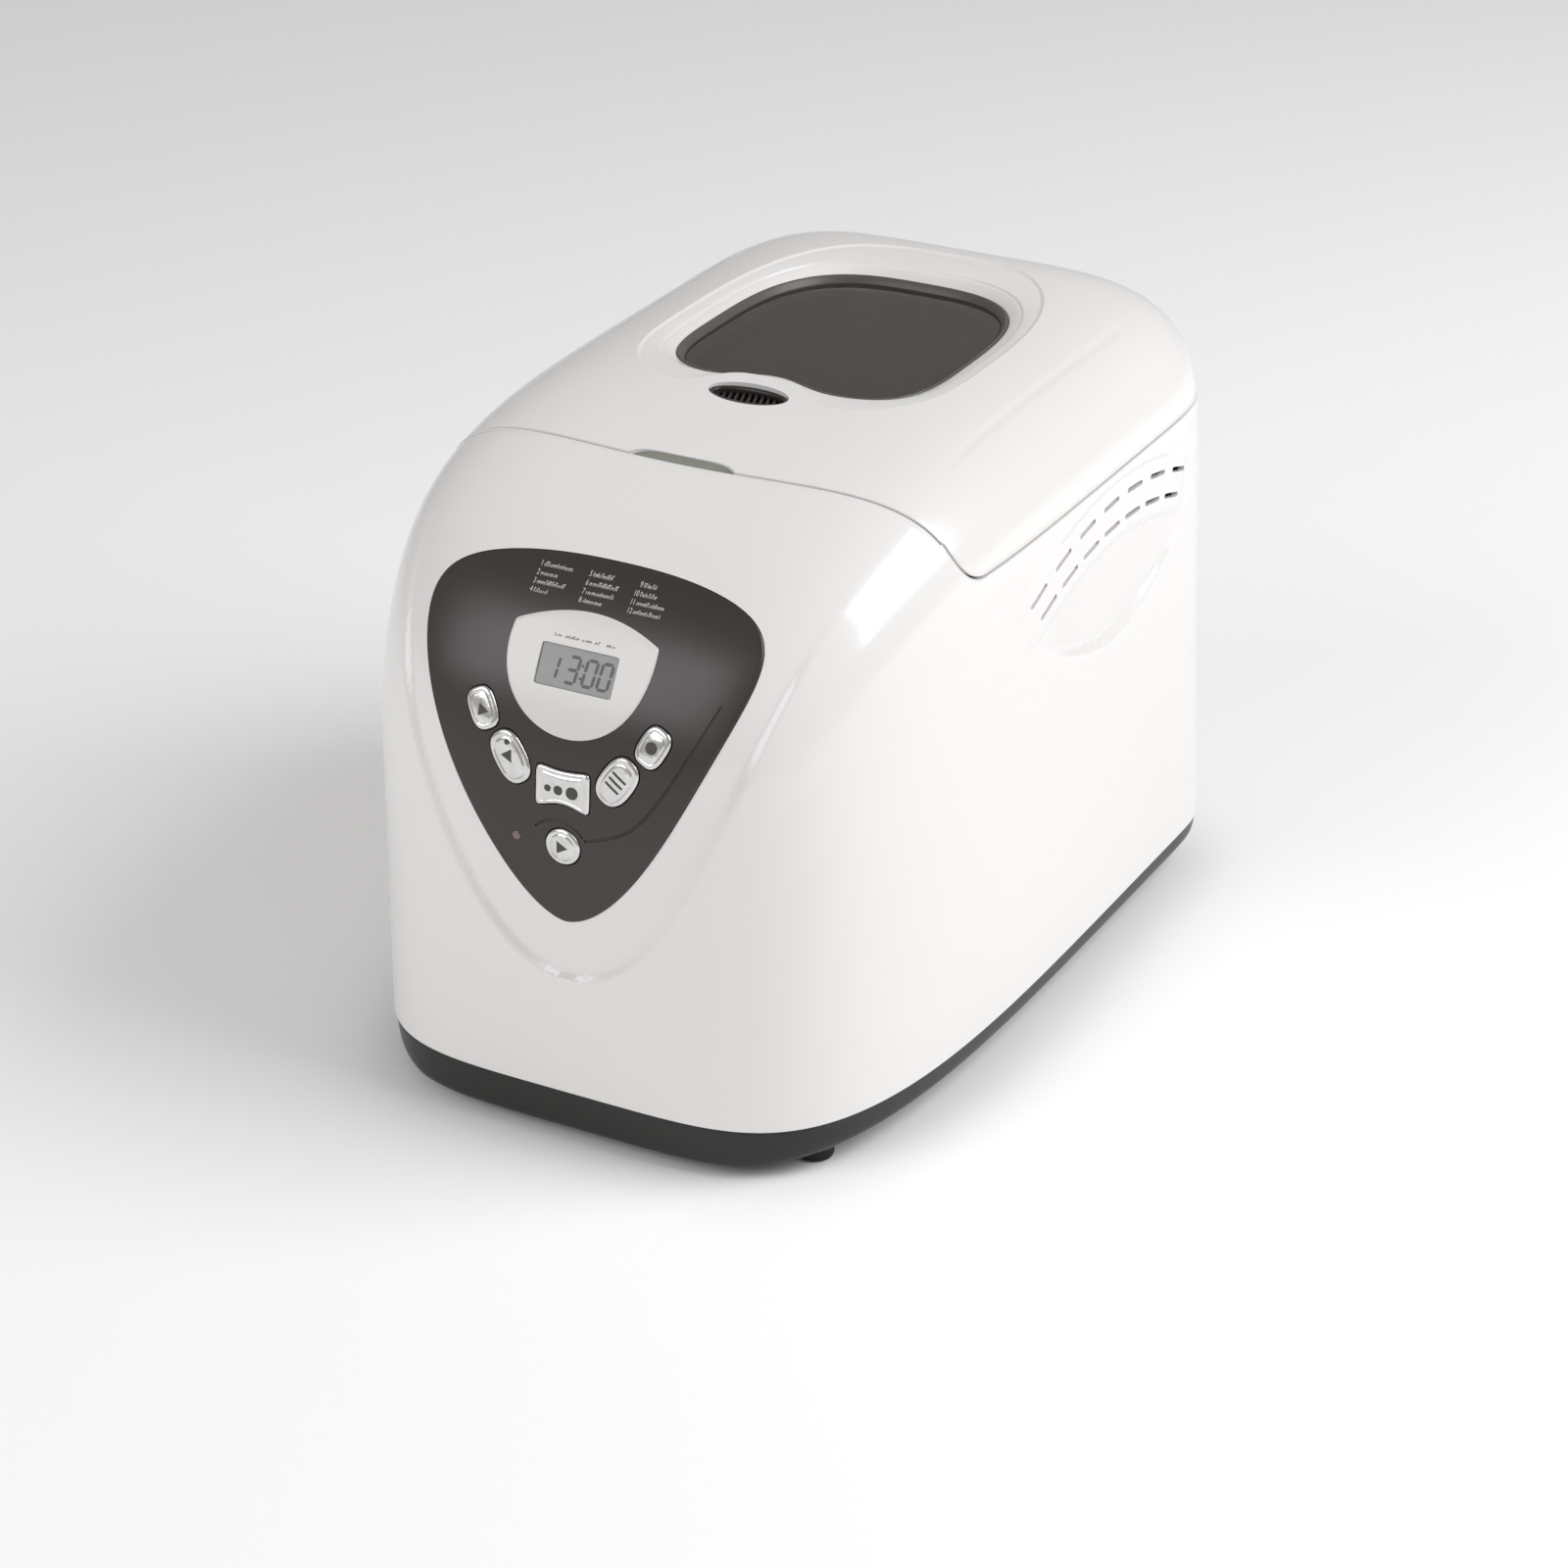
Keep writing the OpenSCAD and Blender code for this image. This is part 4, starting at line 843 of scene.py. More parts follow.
vent_oval = egg(39, 19, 2.0, 96)
tools = [notch_tool(),
         solid("tool", [level(vent_oval + [0, VENT_Y], z) for z in (275, 305)], M["white"])]
for side in (-1, 1):
    tools.append(barrel(side * HINGE_X - 7.1, side * HINGE_X + 7.1, 12.4))
    tools.append(block(side * HINGE_X - 7.1, side * HINGE_X + 7.1, 190, 201, 245, 250.7))
    for b in ((-17.6, -6.9), (6.9, 17.6)):
        tools.append(barrel(side * HINGE_X + b[0], side * HINGE_X + b[1], 13.4))
cut(lid, tools, crisp=42)
hand_over(lid, "lid", ["lid_shell"])

# ---------------------------------------------------------------- places on the front face
def tilt_at(z):
    return math.atan((float(face_y(0.0, z + 2)) - float(face_y(0.0, z - 2))) / 4)


def on_face(local, x, z, turn=0.0):
    """Points (across, out of the face is -Y, up) laid on the front face at (x, z)."""
    p = np.asarray(local, float)
    t, a = math.radians(turn), tilt_at(z)
    u = p[..., 0] * math.cos(t) + p[..., 2] * math.sin(t)
    w = -p[..., 0] * math.sin(t) + p[..., 2] * math.cos(t)
    y = p[..., 1] * math.cos(a) + w * math.sin(a)
    w2 = -p[..., 1] * math.sin(a) + w * math.cos(a)
    return np.stack([x + u, float(face_y(float(x), z)) + y, z + w2], -1)


def laid(o, back=0.0):
    """An (x, z) outline laid on the front face, back mm behind its skin."""
    return np.column_stack([o[:, 0], face_y(o[:, 0], o[:, 1]) + back, o[:, 1]])


def upright(outline, y):
    return np.column_stack([outline[:, 0], np.full(len(outline), float(y)), outline[:, 1]])


def spot(angle, r=DIAL_R):
    a = math.radians(angle)
    return r * math.sin(a), DIAL_Z - r * math.cos(a)


def bow_tie(grow=0.0):
    x = np.linspace(-1, 1, 60)
    w, h = 26.5 / 2, 18.5 / 2
    low = np.column_stack([x * w, -h + (1 - x * x) ** 1.5 * 2.9])
    high = np.column_stack([x[::-1] * w, h - (1 - x[::-1] ** 2) ** 1.5 * 1.3])
    p = evened(np.concatenate([low, high]), 240)
    for _ in range(64):
        p = 0.5 * p + 0.25 * (np.roll(p, 1, 0) + np.roll(p, -1, 0))
    p = evened(p, 128)
    return grown(p * [26.5 / np.ptp(p[:, 0]), 18.5 / np.ptp(p[:, 1])], grow)


KEYS = {
    "time_up": (*spot(-64), -27, lambda g: egg(13.8 + 2 * g, 19 + 2 * g, 2.8, 128)),
    "time_down": (*spot(-34.5), -34, lambda g: egg(16.2 + 2 * g, 24.4 + 2 * g, 2.5, 128)),
    "loaf_size": (0.0, DIAL_Z - DIAL_R - 1, 0, bow_tie),
    "menu": (*spot(34.5), 34, lambda g: egg(16.2 + 2 * g, 24.4 + 2 * g, 2.5, 128)),
    "crust": (*spot(64), 27, lambda g: egg(13.8 + 2 * g, 19 + 2 * g, 2.8, 128)),
    "start": (0.0, DIAL_Z - 73.6, 0, lambda g: egg(17 + 2 * g, 17 + 2 * g, 2.0, 128)),
}
LAMP = (-23.0, DIAL_Z - 73.6)
DISPLAY_Z = 224.5


def key_rings(outline, dome=0.55, proud=2.0, depth=6.0):
    """A key from its back to the middle of its domed, dished face."""
    rings = [upright(outline * 0.02, depth), upright(outline, depth), upright(outline, 0.2)]
    r = 1.5
    for a in np.radians([0, 15, 30, 45, 60, 75, 90]):
        rings.append(upright(grown(outline, -r * (1 - math.cos(a))),
                             -(proud - dome - r * (1 - math.sin(a)))))
    top = grown(outline, -r)
    for s in (0.95, 0.91, 0.87, 0.83, 0.78, 0.7, 0.58, 0.43, 0.28, 0.14, 0.03):
        rings.append(upright(top * s, -(key_height(s, dome, proud))))
    return rings


def key_height(s, dome=0.55, proud=2.0):
    """Height of a key's face where s is 0 in the middle and 1 at the rim."""
    return proud - dome * s ** 2.2 - 0.3 * np.exp(-((s - 0.87) / 0.045) ** 2)


def key_piece(label, node, shapes):
    x, z, turn, outline = KEYS[label]
    rings = [on_face(r, x, z, turn) for r in key_rings(outline(0.0))]
    body_name = label + "_key"
    plate = solid(label + "_key_plate", rings, M["silver"], crisp=55)
    stem = [on_face(r, x, z) for r in (
        [np.column_stack([2.5 * np.cos(q), y + 0 * q, 2.5 * np.sin(q)])
         for y in (5.5, 9.0) for q in [np.linspace(0, 2 * pi, 25)[:-1]]])]
    joined(label + "_key_cap", [plate, solid("stem", stem, M["silver"])], 55, body_name, [node])
    marks = [mark_on_key(shape, outline(-1.5), x, z, turn) for shape in shapes]
    joined(label + "_key_mark", marks, 30, body_name, ())


def mark_on_key(outline, rim, x, z, turn):
    """A thin printed shape that lies on a key's domed face."""
    o = evened(np.asarray(outline, float), 72)
    way = np.arctan2(rim[:, 1], rim[:, 0])
    order = np.argsort(way)
    reach = np.interp(np.arctan2(o[:, 1], o[:, 0]), way[order], np.hypot(*rim[order].T),
                      period=2 * pi)
    height = key_height(np.hypot(*o.T) / reach)
    rings = [on_face(np.column_stack([o[:, 0], -(height + h), o[:, 1]]), x, z, turn)
             for h in (-0.3, 0.10)]
    return solid("mark", rings, M["print_dark"])


# ---------------------------------------------------------------- control panel
edge = panel_outline(420)
centre = np.array([0.0, 215.0])
rings = [laid(centre + (edge - centre) * s, 2.6) for s in np.linspace(0.02, 1, 30)]
pr = 0.9
for a in np.radians([0, 20, 40, 60, 75, 90]):
    rings.append(laid(grown(edge, -pr * (1 - math.cos(a))), pr * (1 - math.sin(a)) - FACE_SKIN))
inside = grown(edge, -pr)
for s in np.linspace(0.985, 0.015, 46):
    rings.append(laid(centre + (inside - centre) * s, -FACE_SKIN))
panel = solid("dark_panel", rings, M["panel"])
tools = []
for label, (x, z, turn, outline) in KEYS.items():
    tools.append(solid("tool", [on_face(upright(outline(0.4), y), x, z, turn) for y in (8, -6)],
                       M["panel"]))
tools.append(solid("tool", [on_face(upright(rounded_box(39.5, 20, 1.5, 64), y), 0, DISPLAY_Z)
                            for y in (9, -9)], M["panel"]))
tools.append(solid("tool", [on_face(upright(egg(4, 4, 2, 32), y), *LAMP) for y in (9, -6)],
                   M["panel"]))


def groove(points, r):
    """A round-bottomed groove through a few places on the panel."""
    p = np.asarray(points, float)
    q = np.linspace(0, len(p) - 1, 90)
    x, z = (np.polyval(np.polyfit(np.arange(len(p)), p[:, i], len(p) - 1), q) for i in (0, 1))
    return solid("tool", tube(np.column_stack([x, face_y(x, z) - 0.45, z]), r, 10), M["panel"])


tools += [groove([(68.3, 222.5), (57.8, 200.5), (43.4, 175.6), (28.9, 160.7), (10.5, 153.2)],
                 0.62),
          groove([(-13.5, 155.2), (-9.0, 158.6), (-2.5, 160.2), (5.0, 158.4), (9.5, 154.6)], 0.5)]
cut(panel, tools, crisp=38)
hand_over(panel, "housing", ["control_panel"])

# ---------------------------------------------------------------- display
a = np.linspace(0, 2 * pi, 1441)[:-1]
disc = np.column_stack([35 * np.cos(a),
                        np.minimum(232.3 + 35 * np.sin(a), 245 - 7 * np.cos(a) ** 2)])
disc = evened(disc, 720)
for _ in range(12):
    disc = 0.5 * disc + 0.25 * (np.roll(disc, 1, 0) + np.roll(disc, -1, 0))
disc = evened(disc, 256)
mid = np.array([0.0, DISPLAY_Z])
rings = [laid(mid + (disc - mid) * s, -FACE_SKIN) for s in (0.03, 0.35, 0.7, 1.0)]
br = 1.0
for a in np.radians([0, 20, 40, 60, 75, 90]):
    rings.append(laid(grown(disc, -br * (1 - math.cos(a))), br * (1 - math.sin(a)) - RING_SKIN))
inside = grown(disc, -br)
for s in np.linspace(0.96, 0.03, 24):
    rings.append(laid(mid + (inside - mid) * s, -RING_SKIN))
ring = solid("display_ring", rings, M["ring"])
cut(ring, [solid("tool", [on_face(upright(rounded_box(w, h, 0.8, 64), y), 0, DISPLAY_Z)
                          for w, h, y in ((37.6, 18.1, 6), (37.6, 18.1, -1.2), (40.6, 21.1, -3.6))],
                 M["ring"])], crisp=30)
hand_over(ring, "housing", ["display_bezel"])

pane_rings = [on_face(upright(rounded_box(37.5, 18, 0.7, 64), y), 0, DISPLAY_Z) for y in (4.1, 0.0)]
pane_rings += [on_face(upright(rounded_box(37.1, 17.6, 0.6, 64), -0.25), 0, DISPLAY_Z)]
back = [on_face(upright(rounded_box(44, 26, 1.2, 64), y), 0, DISPLAY_Z) for y in (8.1, 4.1)]
joined("lcd_pane", [solid("front", pane_rings, M["lcd"]), solid("back", back, M["lcd"])], 30,
       "housing", ["lcd_display"])

SEGMENTS = {"0": "abcdef", "1": "bc", "3": "abgcd"}


def digit_bars(char, x, z, w=3.6, h=8.0, t=0.75):
    """Bars of a seven-part digit whose lower left corner is at (x, z)."""
    half = h / 2
    places = {"a": (x + w / 2, z + h, 1), "d": (x + w / 2, z, 1), "g": (x + w / 2, z + half, 1),
              "b": (x + w, z + half * 1.5, 0), "c": (x + w, z + half / 2, 0),
              "f": (x, z + half * 1.5, 0), "e": (x, z + half / 2, 0)}
    bars = []
    for s in SEGMENTS[char]:
        cx, cz, flat = places[s]
        ln = (w if flat else half) / 2 - 0.15
        o = np.array([(-ln, 0), (-ln + t / 2, -t / 2), (ln - t / 2, -t / 2), (ln, 0),
                      (ln - t / 2, t / 2), (-ln + t / 2, t / 2)])
        if not flat:
            o = np.column_stack([-o[:, 1], o[:, 0]])
        o = o + [cx, cz]
        bars.append(o + np.column_stack([0.09 * o[:, 1], 0 * o[:, 1]]))
    return bars


shapes = digit_bars("1", -12.6, -5.6, h=9.6, w=3.4, t=1.35)
for char, x in (("3", -4.6), ("0", 3.9), ("0", 11.2)):
    shapes += digit_bars(char, x, -6.0, w=4.9, h=11.2, t=1.45)
for z in (-3.2, 2.2):
    shapes.append(rounded_box(1.2, 1.2, 0.3, 12) + [2.2, z])
bars = [solid("seg", [on_face(upright(o, y), 0, DISPLAY_Z) for y in (-0.15, -0.3)], M["digit"])
        for o in shapes]
joined("lcd_digits", bars, 30, "housing", ())

lens = [on_face(upright(egg(4 * s, 4 * s, 2, 40), y), *LAMP)
        for s, y in ((0.05, 8), (1, 8), (1, -0.3), (0.94, -0.6), (0.8, -0.8), (0.5, -0.95),
                     (0.1, -1.0))]
solid("program_lamp", lens, M["lamp"], "housing", ["indicator_light"], 60)


def triangle(w, h, up=1):
    return [(-w / 2, -up * h / 2), (w / 2, -up * h / 2), (0, up * h / 2)][::up]


def strip(w, h, x=0.0, z=0.0):
    return (rounded_box(w, h, min(w, h) * 0.45, 32) + [x, z]).tolist()


dot = egg(2.6, 2.6, 2, 40)
key_piece("time_up", "button_time_up", [triangle(5.6, 5.0, 1)])
key_piece("time_down", "button_time_down", [triangle(6.0, 5.2, -1), (dot + [2.6, 6.2]).tolist()])
key_piece("loaf_size", "button_loaf_size",
          [strip(3.2, 3.0, -6.6, -0.2), strip(4.2, 4.2, -1.4, -0.2), strip(5.6, 5.6, 5.3, -0.2)])
key_piece("menu", "button_menu", [strip(8.0, 1.1, 0, z) for z in (3.0, 0, -3.0)])
key_piece("crust", "button_crust", [egg(5.6, 5.6, 2, 40).tolist()])
key_piece("start", "button_start", [[(-2.2, -2.9), (3.1, 0), (-2.2, 2.9)]])


# Programme list: plain numbers with a short bar each, in three columns
def number_mesh(text, size):
    curve = bpy.data.curves.new("number", "FONT")
    curve.body, curve.size, curve.extrude = text, size, 0.0
    curve.align_x, curve.align_y = "RIGHT", "CENTER"
    o = bpy.data.objects.new("number", curve)
    bpy.context.collection.objects.link(o)
    bpy.context.view_layer.update()
    mesh = bpy.data.meshes.new_from_object(o.evaluated_get(bpy.context.evaluated_depsgraph_get()))
    bpy.data.objects.remove(o)
    return mesh


def lie_on_panel(mesh, x, z, name, lift=0.44):
    bm = bmesh.new()
    bm.from_mesh(mesh)
    bmesh.ops.remove_doubles(bm, verts=bm.verts, dist=1e-5)
    extra = bmesh.ops.extrude_face_region(bm, geom=bm.faces[:])
    top = {v for v in extra["geom"] if isinstance(v, bmesh.types.BMVert)}
    for v in bm.verts:
        px, pz = x + v.co.x, z + v.co.y
        y = float(face_y(px, pz)) - (lift if v in top else 0.36)
        v.co = (px, y, pz)
    bmesh.ops.recalc_face_normals(bm, faces=bm.faces)
    bmesh.ops.scale(bm, vec=(0.001, 0.001, 0.001), verts=bm.verts)
    out = bpy.data.meshes.new(name)
    bm.to_mesh(out)
    bm.free()
    out.materials.append(M["print_light"])
    o = bpy.data.objects.new(name, out)
    bpy.context.collection.objects.link(o)
    return o


def flat_mesh(outline):
    mesh = bpy.data.meshes.new("flat")
    mesh.from_pydata([(float(a), float(b), 0) for a, b in outline], [], [list(range(len(outline)))])
    return mesh


def strokes(width, height, seed):
    """Upright strokes in a row that stand in for a printed word without spelling anything."""
    pick = np.random.default_rng(seed)
    row, x = [], 0.0
    while x < width:
        h = height * (0.62 if pick.random() < 0.7 else 1.0)
        row.append(rounded_box(0.3, h, 0.1, 12) + [x, (h - height) / 2])
        if pick.random() < 0.55:
            row.append(rounded_box(0.62, 0.26, 0.1, 12) + [x + 0.34, h - height / 2 - 0.15])
        x += 0.62 + 0.34 * pick.random()
    return row


prints = []
WORDS = ((14.0, 8.5, 13.0, 6.5), (9.0, 13.5, 13.5, 9.0), (6.5, 8.0, 13.0, 13.0))
for column, x in enumerate((-31.0, -7.0, 17.5)):
    for row, width in enumerate(WORDS[column]):
        z = 256.4 - 2.75 * row
        number = column * 4 + row + 1
        prints.append(lie_on_panel(number_mesh(str(number), 2.5), x - 0.9, z, "n"))
        for o in strokes(width, 1.5, number):
            prints.append(lie_on_panel(flat_mesh(o), x, z, "s"))
joined("programme_list", prints, 30, "housing", ())
caption = []
for x, w, seed in ((-14.0, 3.6, 21), (-8.6, 6.2, 22), (-0.6, 4.4, 23), (5.6, 2.0, 24),
                   (11.2, 4.4, 25)):
    for o in strokes(w, 1.2, seed):
        o = o + [x, 236.0]
        caption.append(solid("c", [laid(o, -y) for y in (1.5, 1.66)], M["print_dark"]))
joined("display_caption", caption, 30, "housing", ())


# ---------------------------------------------------------------- window, vent and lid trim
def window_outline(out, count_out=288):
    a = np.linspace(0, 2 * pi, 4001)[:-1]
    s, c = np.sin(a), np.cos(a)
    e = np.where(s >= 0, 2 / 3, 2 / 3.8)
    x = (71 + out) * np.sign(c) * np.abs(c) ** e
    y = (81.5 + np.where(s >= 0, 9.5, -9.5) + out) * np.sign(s) * np.abs(s) ** e
    y = WINDOW_Y + y + np.where(s >= 0, 0, 9 * np.exp(-(x / 20) ** 2))
    return evened(np.column_stack([x, y]), count_out)


def rim_height(o):
    """Height of the lid's skin over plan places, just inside the bowl."""
    low, high = np.full(len(o), 230.0), np.full(len(o), 299.99)
    x, y = o[:, 0], o[:, 1]
    for _ in range(30):
        z = (low + high) / 2
        m = middle_y(z)
        n = np.where(y < m, 4.6, 5.5)
        reach = np.where(y < m, m - form_front(z), form_rear(z) - m)
        inside = (np.abs(x) / form_half(z)) ** n + (np.abs(y - m) / reach) ** n < 1
        low, high = np.where(inside, z, low), np.where(inside, high, z)
    return (low + high) / 2


def ring_band(name, stations, material, nodes, body_name="lid", crisp=50):
    """Closed band round the window through (outset, height or array) stations."""
    base = window_outline(0.0)
    rings = []
    for out, z in stations:
        o = window_outline(out)
        rings.append(np.column_stack([o, np.broadcast_to(z, (len(o),))]))
    grid = np.stack(rings, 1)
    obj = piece(name, grid.reshape(-1, 3), torus_faces(len(base), grid.shape[1]), material, None,
                crisp=crisp)
    face_out(obj)
    finish(obj, crisp)
    hand_over(obj, body_name, nodes)
    return obj


rim_z = rim_height(window_outline(0.0)) - 2.95
slope = []
for q in np.linspace(0, 1, 9):
    slope.append((-0.25 - 5.0 * q, rim_z - 0.55 - (rim_z - 0.55 - 292.2) * (q ** 1.35)))
ring_band("window_slope", [(-0.15, rim_z - 3.0), (-0.15, rim_z - 0.9)] + slope
          + [(-5.6, 291.9), (-5.9, 291.2), (-5.9, 287.6), (-13, 287.6), (-13, 284), (-0.15, 284)],
          M["white"], ["window_surround"])
ring_band("window_seal", [(-6.0, 288.1), (-6.0, 292.0), (-6.3, 292.4), (-6.9, 292.4), (-7.4, 292.0),
                          (-9.0, 289.4), (-9.15, 289.0), (-9.15, 288.1)],
          M["seal"], ["window_gasket"])
o = window_outline(-9.3)
mid = np.array([0.0, 57.0])
rings = [level(mid + (o - mid) * s, 288.1) for s in (0.03, 0.5, 1.0)]
rings += [level(o, 288.75), level(grown(o, -0.15), 289.0)]
for s in np.linspace(0.985, 0.03, 26):
    rings.append(level(mid + (grown(o, -0.15) - mid) * s, 289.1))
solid("window_pane", rings, M["glass"], "lid", ["window_glass"])


def rib_tree():
    """Slanted ribs across an oval: count, step, height, thickness and the oval's half axes."""
    tree = bpy.data.node_groups.new("OvalRibs", "GeometryNodeTree")
    face = tree.interface
    face.new_socket("Geometry", in_out="INPUT", socket_type="NodeSocketGeometry")
    names = [("Count", "NodeSocketInt", 11), ("Step", "NodeSocketFloat", 0.0031),
             ("Thickness", "NodeSocketFloat", 0.0011), ("Height", "NodeSocketFloat", 0.004),
             ("Half Width", "NodeSocketFloat", 0.0175), ("Half Depth", "NodeSocketFloat", 0.0073),
             ("Slant", "NodeSocketFloat", 0.32), ("Material", "NodeSocketMaterial", None)]
    for label, kind, value in names:
        s = face.new_socket(label, in_out="INPUT", socket_type=kind)
        if value is not None:
            s.default_value = value
    face.new_socket("Geometry", in_out="OUTPUT", socket_type="NodeSocketGeometry")
    nodes, links = tree.nodes, tree.links
    gi, go = nodes.new("NodeGroupInput"), nodes.new("NodeGroupOutput")

    def calc(kind, a, b=None):
        n = nodes.new("ShaderNodeMath")
        n.operation = kind
        for sock, v in zip(n.inputs, (a, b)):
            if v is None:
                continue
            if isinstance(v, (int, float)):
                sock.default_value = v
            else:
                links.new(v, sock)
        return n.outputs[0]

    line = nodes.new("GeometryNodeMeshLine")
    line.mode = "OFFSET"
    links.new(gi.outputs["Count"], line.inputs["Count"])
    step = nodes.new("ShaderNodeCombineXYZ")
    links.new(gi.outputs["Step"], step.inputs["X"])
    links.new(step.outputs[0], line.inputs["Offset"])
    start = nodes.new("ShaderNodeCombineXYZ")
    span = calc("MULTIPLY", calc("SUBTRACT", gi.outputs["Count"], 1.0), gi.outputs["Step"])
    links.new(calc("MULTIPLY", span, -0.5), start.inputs["X"])
    links.new(start.outputs[0], line.inputs["Start Location"])
    where = nodes.new("GeometryNodeInputPosition")
    sep = nodes.new("ShaderNodeSeparateXYZ")
    links.new(where.outputs[0], sep.inputs[0])
    part = calc("DIVIDE", sep.outputs["X"], gi.outputs["Half Width"])
    rest = calc("SUBTRACT", 1.0, calc("MULTIPLY", part, part))
    reach = calc("MULTIPLY", calc("SQRT", calc("MAXIMUM", rest, 0.02)), gi.outputs["Half Depth"])
    size = nodes.new("ShaderNodeCombineXYZ")
    links.new(gi.outputs["Thickness"], size.inputs["X"])
    links.new(calc("MULTIPLY", reach, 2.0), size.inputs["Y"])
    links.new(gi.outputs["Height"], size.inputs["Z"])
    bar = nodes.new("GeometryNodeMeshCylinder")
    bar.inputs["Vertices"].default_value = 8
    bar.inputs["Radius"].default_value = 0.54
    bar.inputs["Depth"].default_value = 1.0
    inst = nodes.new("GeometryNodeInstanceOnPoints")
    links.new(line.outputs["Mesh"], inst.inputs["Points"])
    links.new(bar.outputs["Mesh"], inst.inputs["Instance"])
    links.new(size.outputs[0], inst.inputs["Scale"])
    lean = nodes.new("ShaderNodeCombineXYZ")
    links.new(gi.outputs["Slant"], lean.inputs["Z"])
    links.new(lean.outputs[0], inst.inputs["Rotation"])
    real = nodes.new("GeometryNodeRealizeInstances")
    links.new(inst.outputs[0], real.inputs[0])
    paint = nodes.new("GeometryNodeSetMaterial")
    links.new(real.outputs[0], paint.inputs["Geometry"])
    links.new(gi.outputs["Material"], paint.inputs["Material"])
    links.new(paint.outputs[0], go.inputs[0])
    return tree


def from_nodes(name, tree, material, place=(0, 0, 0), **values):
    """Runs a node tree once and returns its mesh as a plain piece, placed in mm."""
    obj = bpy.data.objects.new(name, bpy.data.meshes.new(name))
    bpy.context.collection.objects.link(obj)
    mod = obj.modifiers.new("nodes", "NODES")
    mod.node_group = tree
    ids = {s.name: s.identifier for s in tree.interface.items_tree
           if s.item_type == "SOCKET" and s.in_out == "INPUT"}
    mod[ids["Material"]] = material
    for label, v in values.items():
        mod[ids[label.replace("_", " ")]] = v
    mesh = bpy.data.meshes.new_from_object(
        obj.evaluated_get(bpy.context.evaluated_depsgraph_get()))
    obj.modifiers.clear()
    obj.data = mesh
    mesh.transform(Matrix.Translation([v * 0.001 for v in place]))
    face_out(obj)
    finish(obj, 40)
    return obj


frame_rings = []
for d, z in ((0.0, 288.2), (0.0, 295.0), (0.35, 295.6), (1.2, 295.7), (1.9, 295.2), (2.1, 294.4),
             (2.1, 288.2)):
    frame_rings.append(level(egg(39 - 0.5 - 2 * d, 19 - 0.5 - 2 * d, 2.0, 96) + [0, VENT_Y], z))
grid = np.stack(frame_rings, 1)
vent_frame = piece("vent_frame", grid.reshape(-1, 3), torus_faces(96, grid.shape[1]),
                   M["vent"], None, crisp=50)
face_out(vent_frame)
ribs = from_nodes("vent_ribs", rib_tree(), M["vent"], (0, VENT_Y, 291.0), Count=11, Height=0.0055)
joined("vent_grille_detail", [vent_frame, ribs], 50, "lid", ["vent_grille"])

x = np.linspace(-26.2, 26.2, 61)
bow = BOW_Y - np.sqrt(BOW_R ** 2 - x ** 2)
deep = 5.5 * (1 - np.abs(x / 26.6) ** 6) ** 0.8
skin_z = rim_height(np.column_stack([x, bow + deep]))
rise = 4.4 - 2.4 * np.abs(x / 26.5) ** 4
rows = [np.column_stack([x, bow + 0.5 + (deep - 0.7) * q, skin_z - 4.6 + rise * ease(q) ** 1.2])
        for q in np.linspace(0, 1, 7)]
under = [np.column_stack([r[:, 0], r[:, 1], np.full(len(x), 279.5)]) for r in (rows[0], rows[-1])]
loop_grid = np.stack([under[0]] + rows + [under[1]], 1)
n, k = loop_grid.shape[:2]
faces = [(i * k + j, (i + 1) * k + j, (i + 1) * k + (j + 1) % k, i * k + (j + 1) % k)
         for i in range(n - 1) for j in range(k)]
faces += [tuple(range(k))[::-1], tuple((n - 1) * k + j for j in range(k))]
lip = piece("finger_notch", loop_grid.reshape(-1, 3), faces, M["lip"], None)
face_out(lip)
finish(lip, 40)
hand_over(lip, "lid", ["finger_lip"])

# ---------------------------------------------------------------- base and feet
levels = [(6.0, 6.0), (6.0, 4.4), (6.2, 3.7), (6.8, 3.0), (8.0, 2.4), (10.0, 1.9), (12.5, 1.6),
          (15.5, 1.3), (19.0, 1.1), (22.5, 0.9), (25.4, 0.7), (25.9, 0.9), (26.0, 1.4),
          (26.0, 3.4), (24.0, 3.6), (16.0, 4.2), (11.0, 5.6), (8.6, 8.0), (8.5, 12.0)]
base_count = 400
bt = spaced_turns(1.0, 1.0)
bt = np.interp(np.arange(base_count) / base_count * len(bt), np.arange(len(bt) + 1),
               np.append(bt, bt[0] + 2 * pi))
rings = []
for z, t in levels:
    p = on_form(bt, np.full(base_count, BASE_TOP), t)
    p[:, 2] = z
    rings.append(p)
inward = (0.04, 0.35, 0.6, 0.66, 0.72, 0.79, 0.86, 0.93)
floor_rings = [level(rings[0][:, :2] * s, 6.0) for s in inward]
top_rings = [level(rings[-1][:, :2] * s, 8.5) for s in inward[::-1]]
sloped = []
for p in floor_rings + rings + top_rings:
    p = p.copy()
    rise = np.maximum(0, np.abs(p[:, 0]) - 85) * 11.1 / 60
    p[:, 2] += rise * np.clip((26 - p[:, 2]) / 20, 0, 1)
    sloped.append(p)
tray = solid("black_base", sloped, M["base"])
tools = []
for sx in (-1, 1):
    for sy in (-1, 1):
        tools.append(solid("tool", lathe([(4.0, 4), (4.0, 12)], (sx * FOOT_X, sy * FOOT_Y), 40),
                           M["base"]))
for j in range(-4, 5):
    tools.append(solid("tool", [level(rounded_box(4, 60, 1.9, 40) + [j * 12, AXIS_Y], z)
                                for z in (4, 11)], M["base"]))
cut(tray, tools, crisp=36)
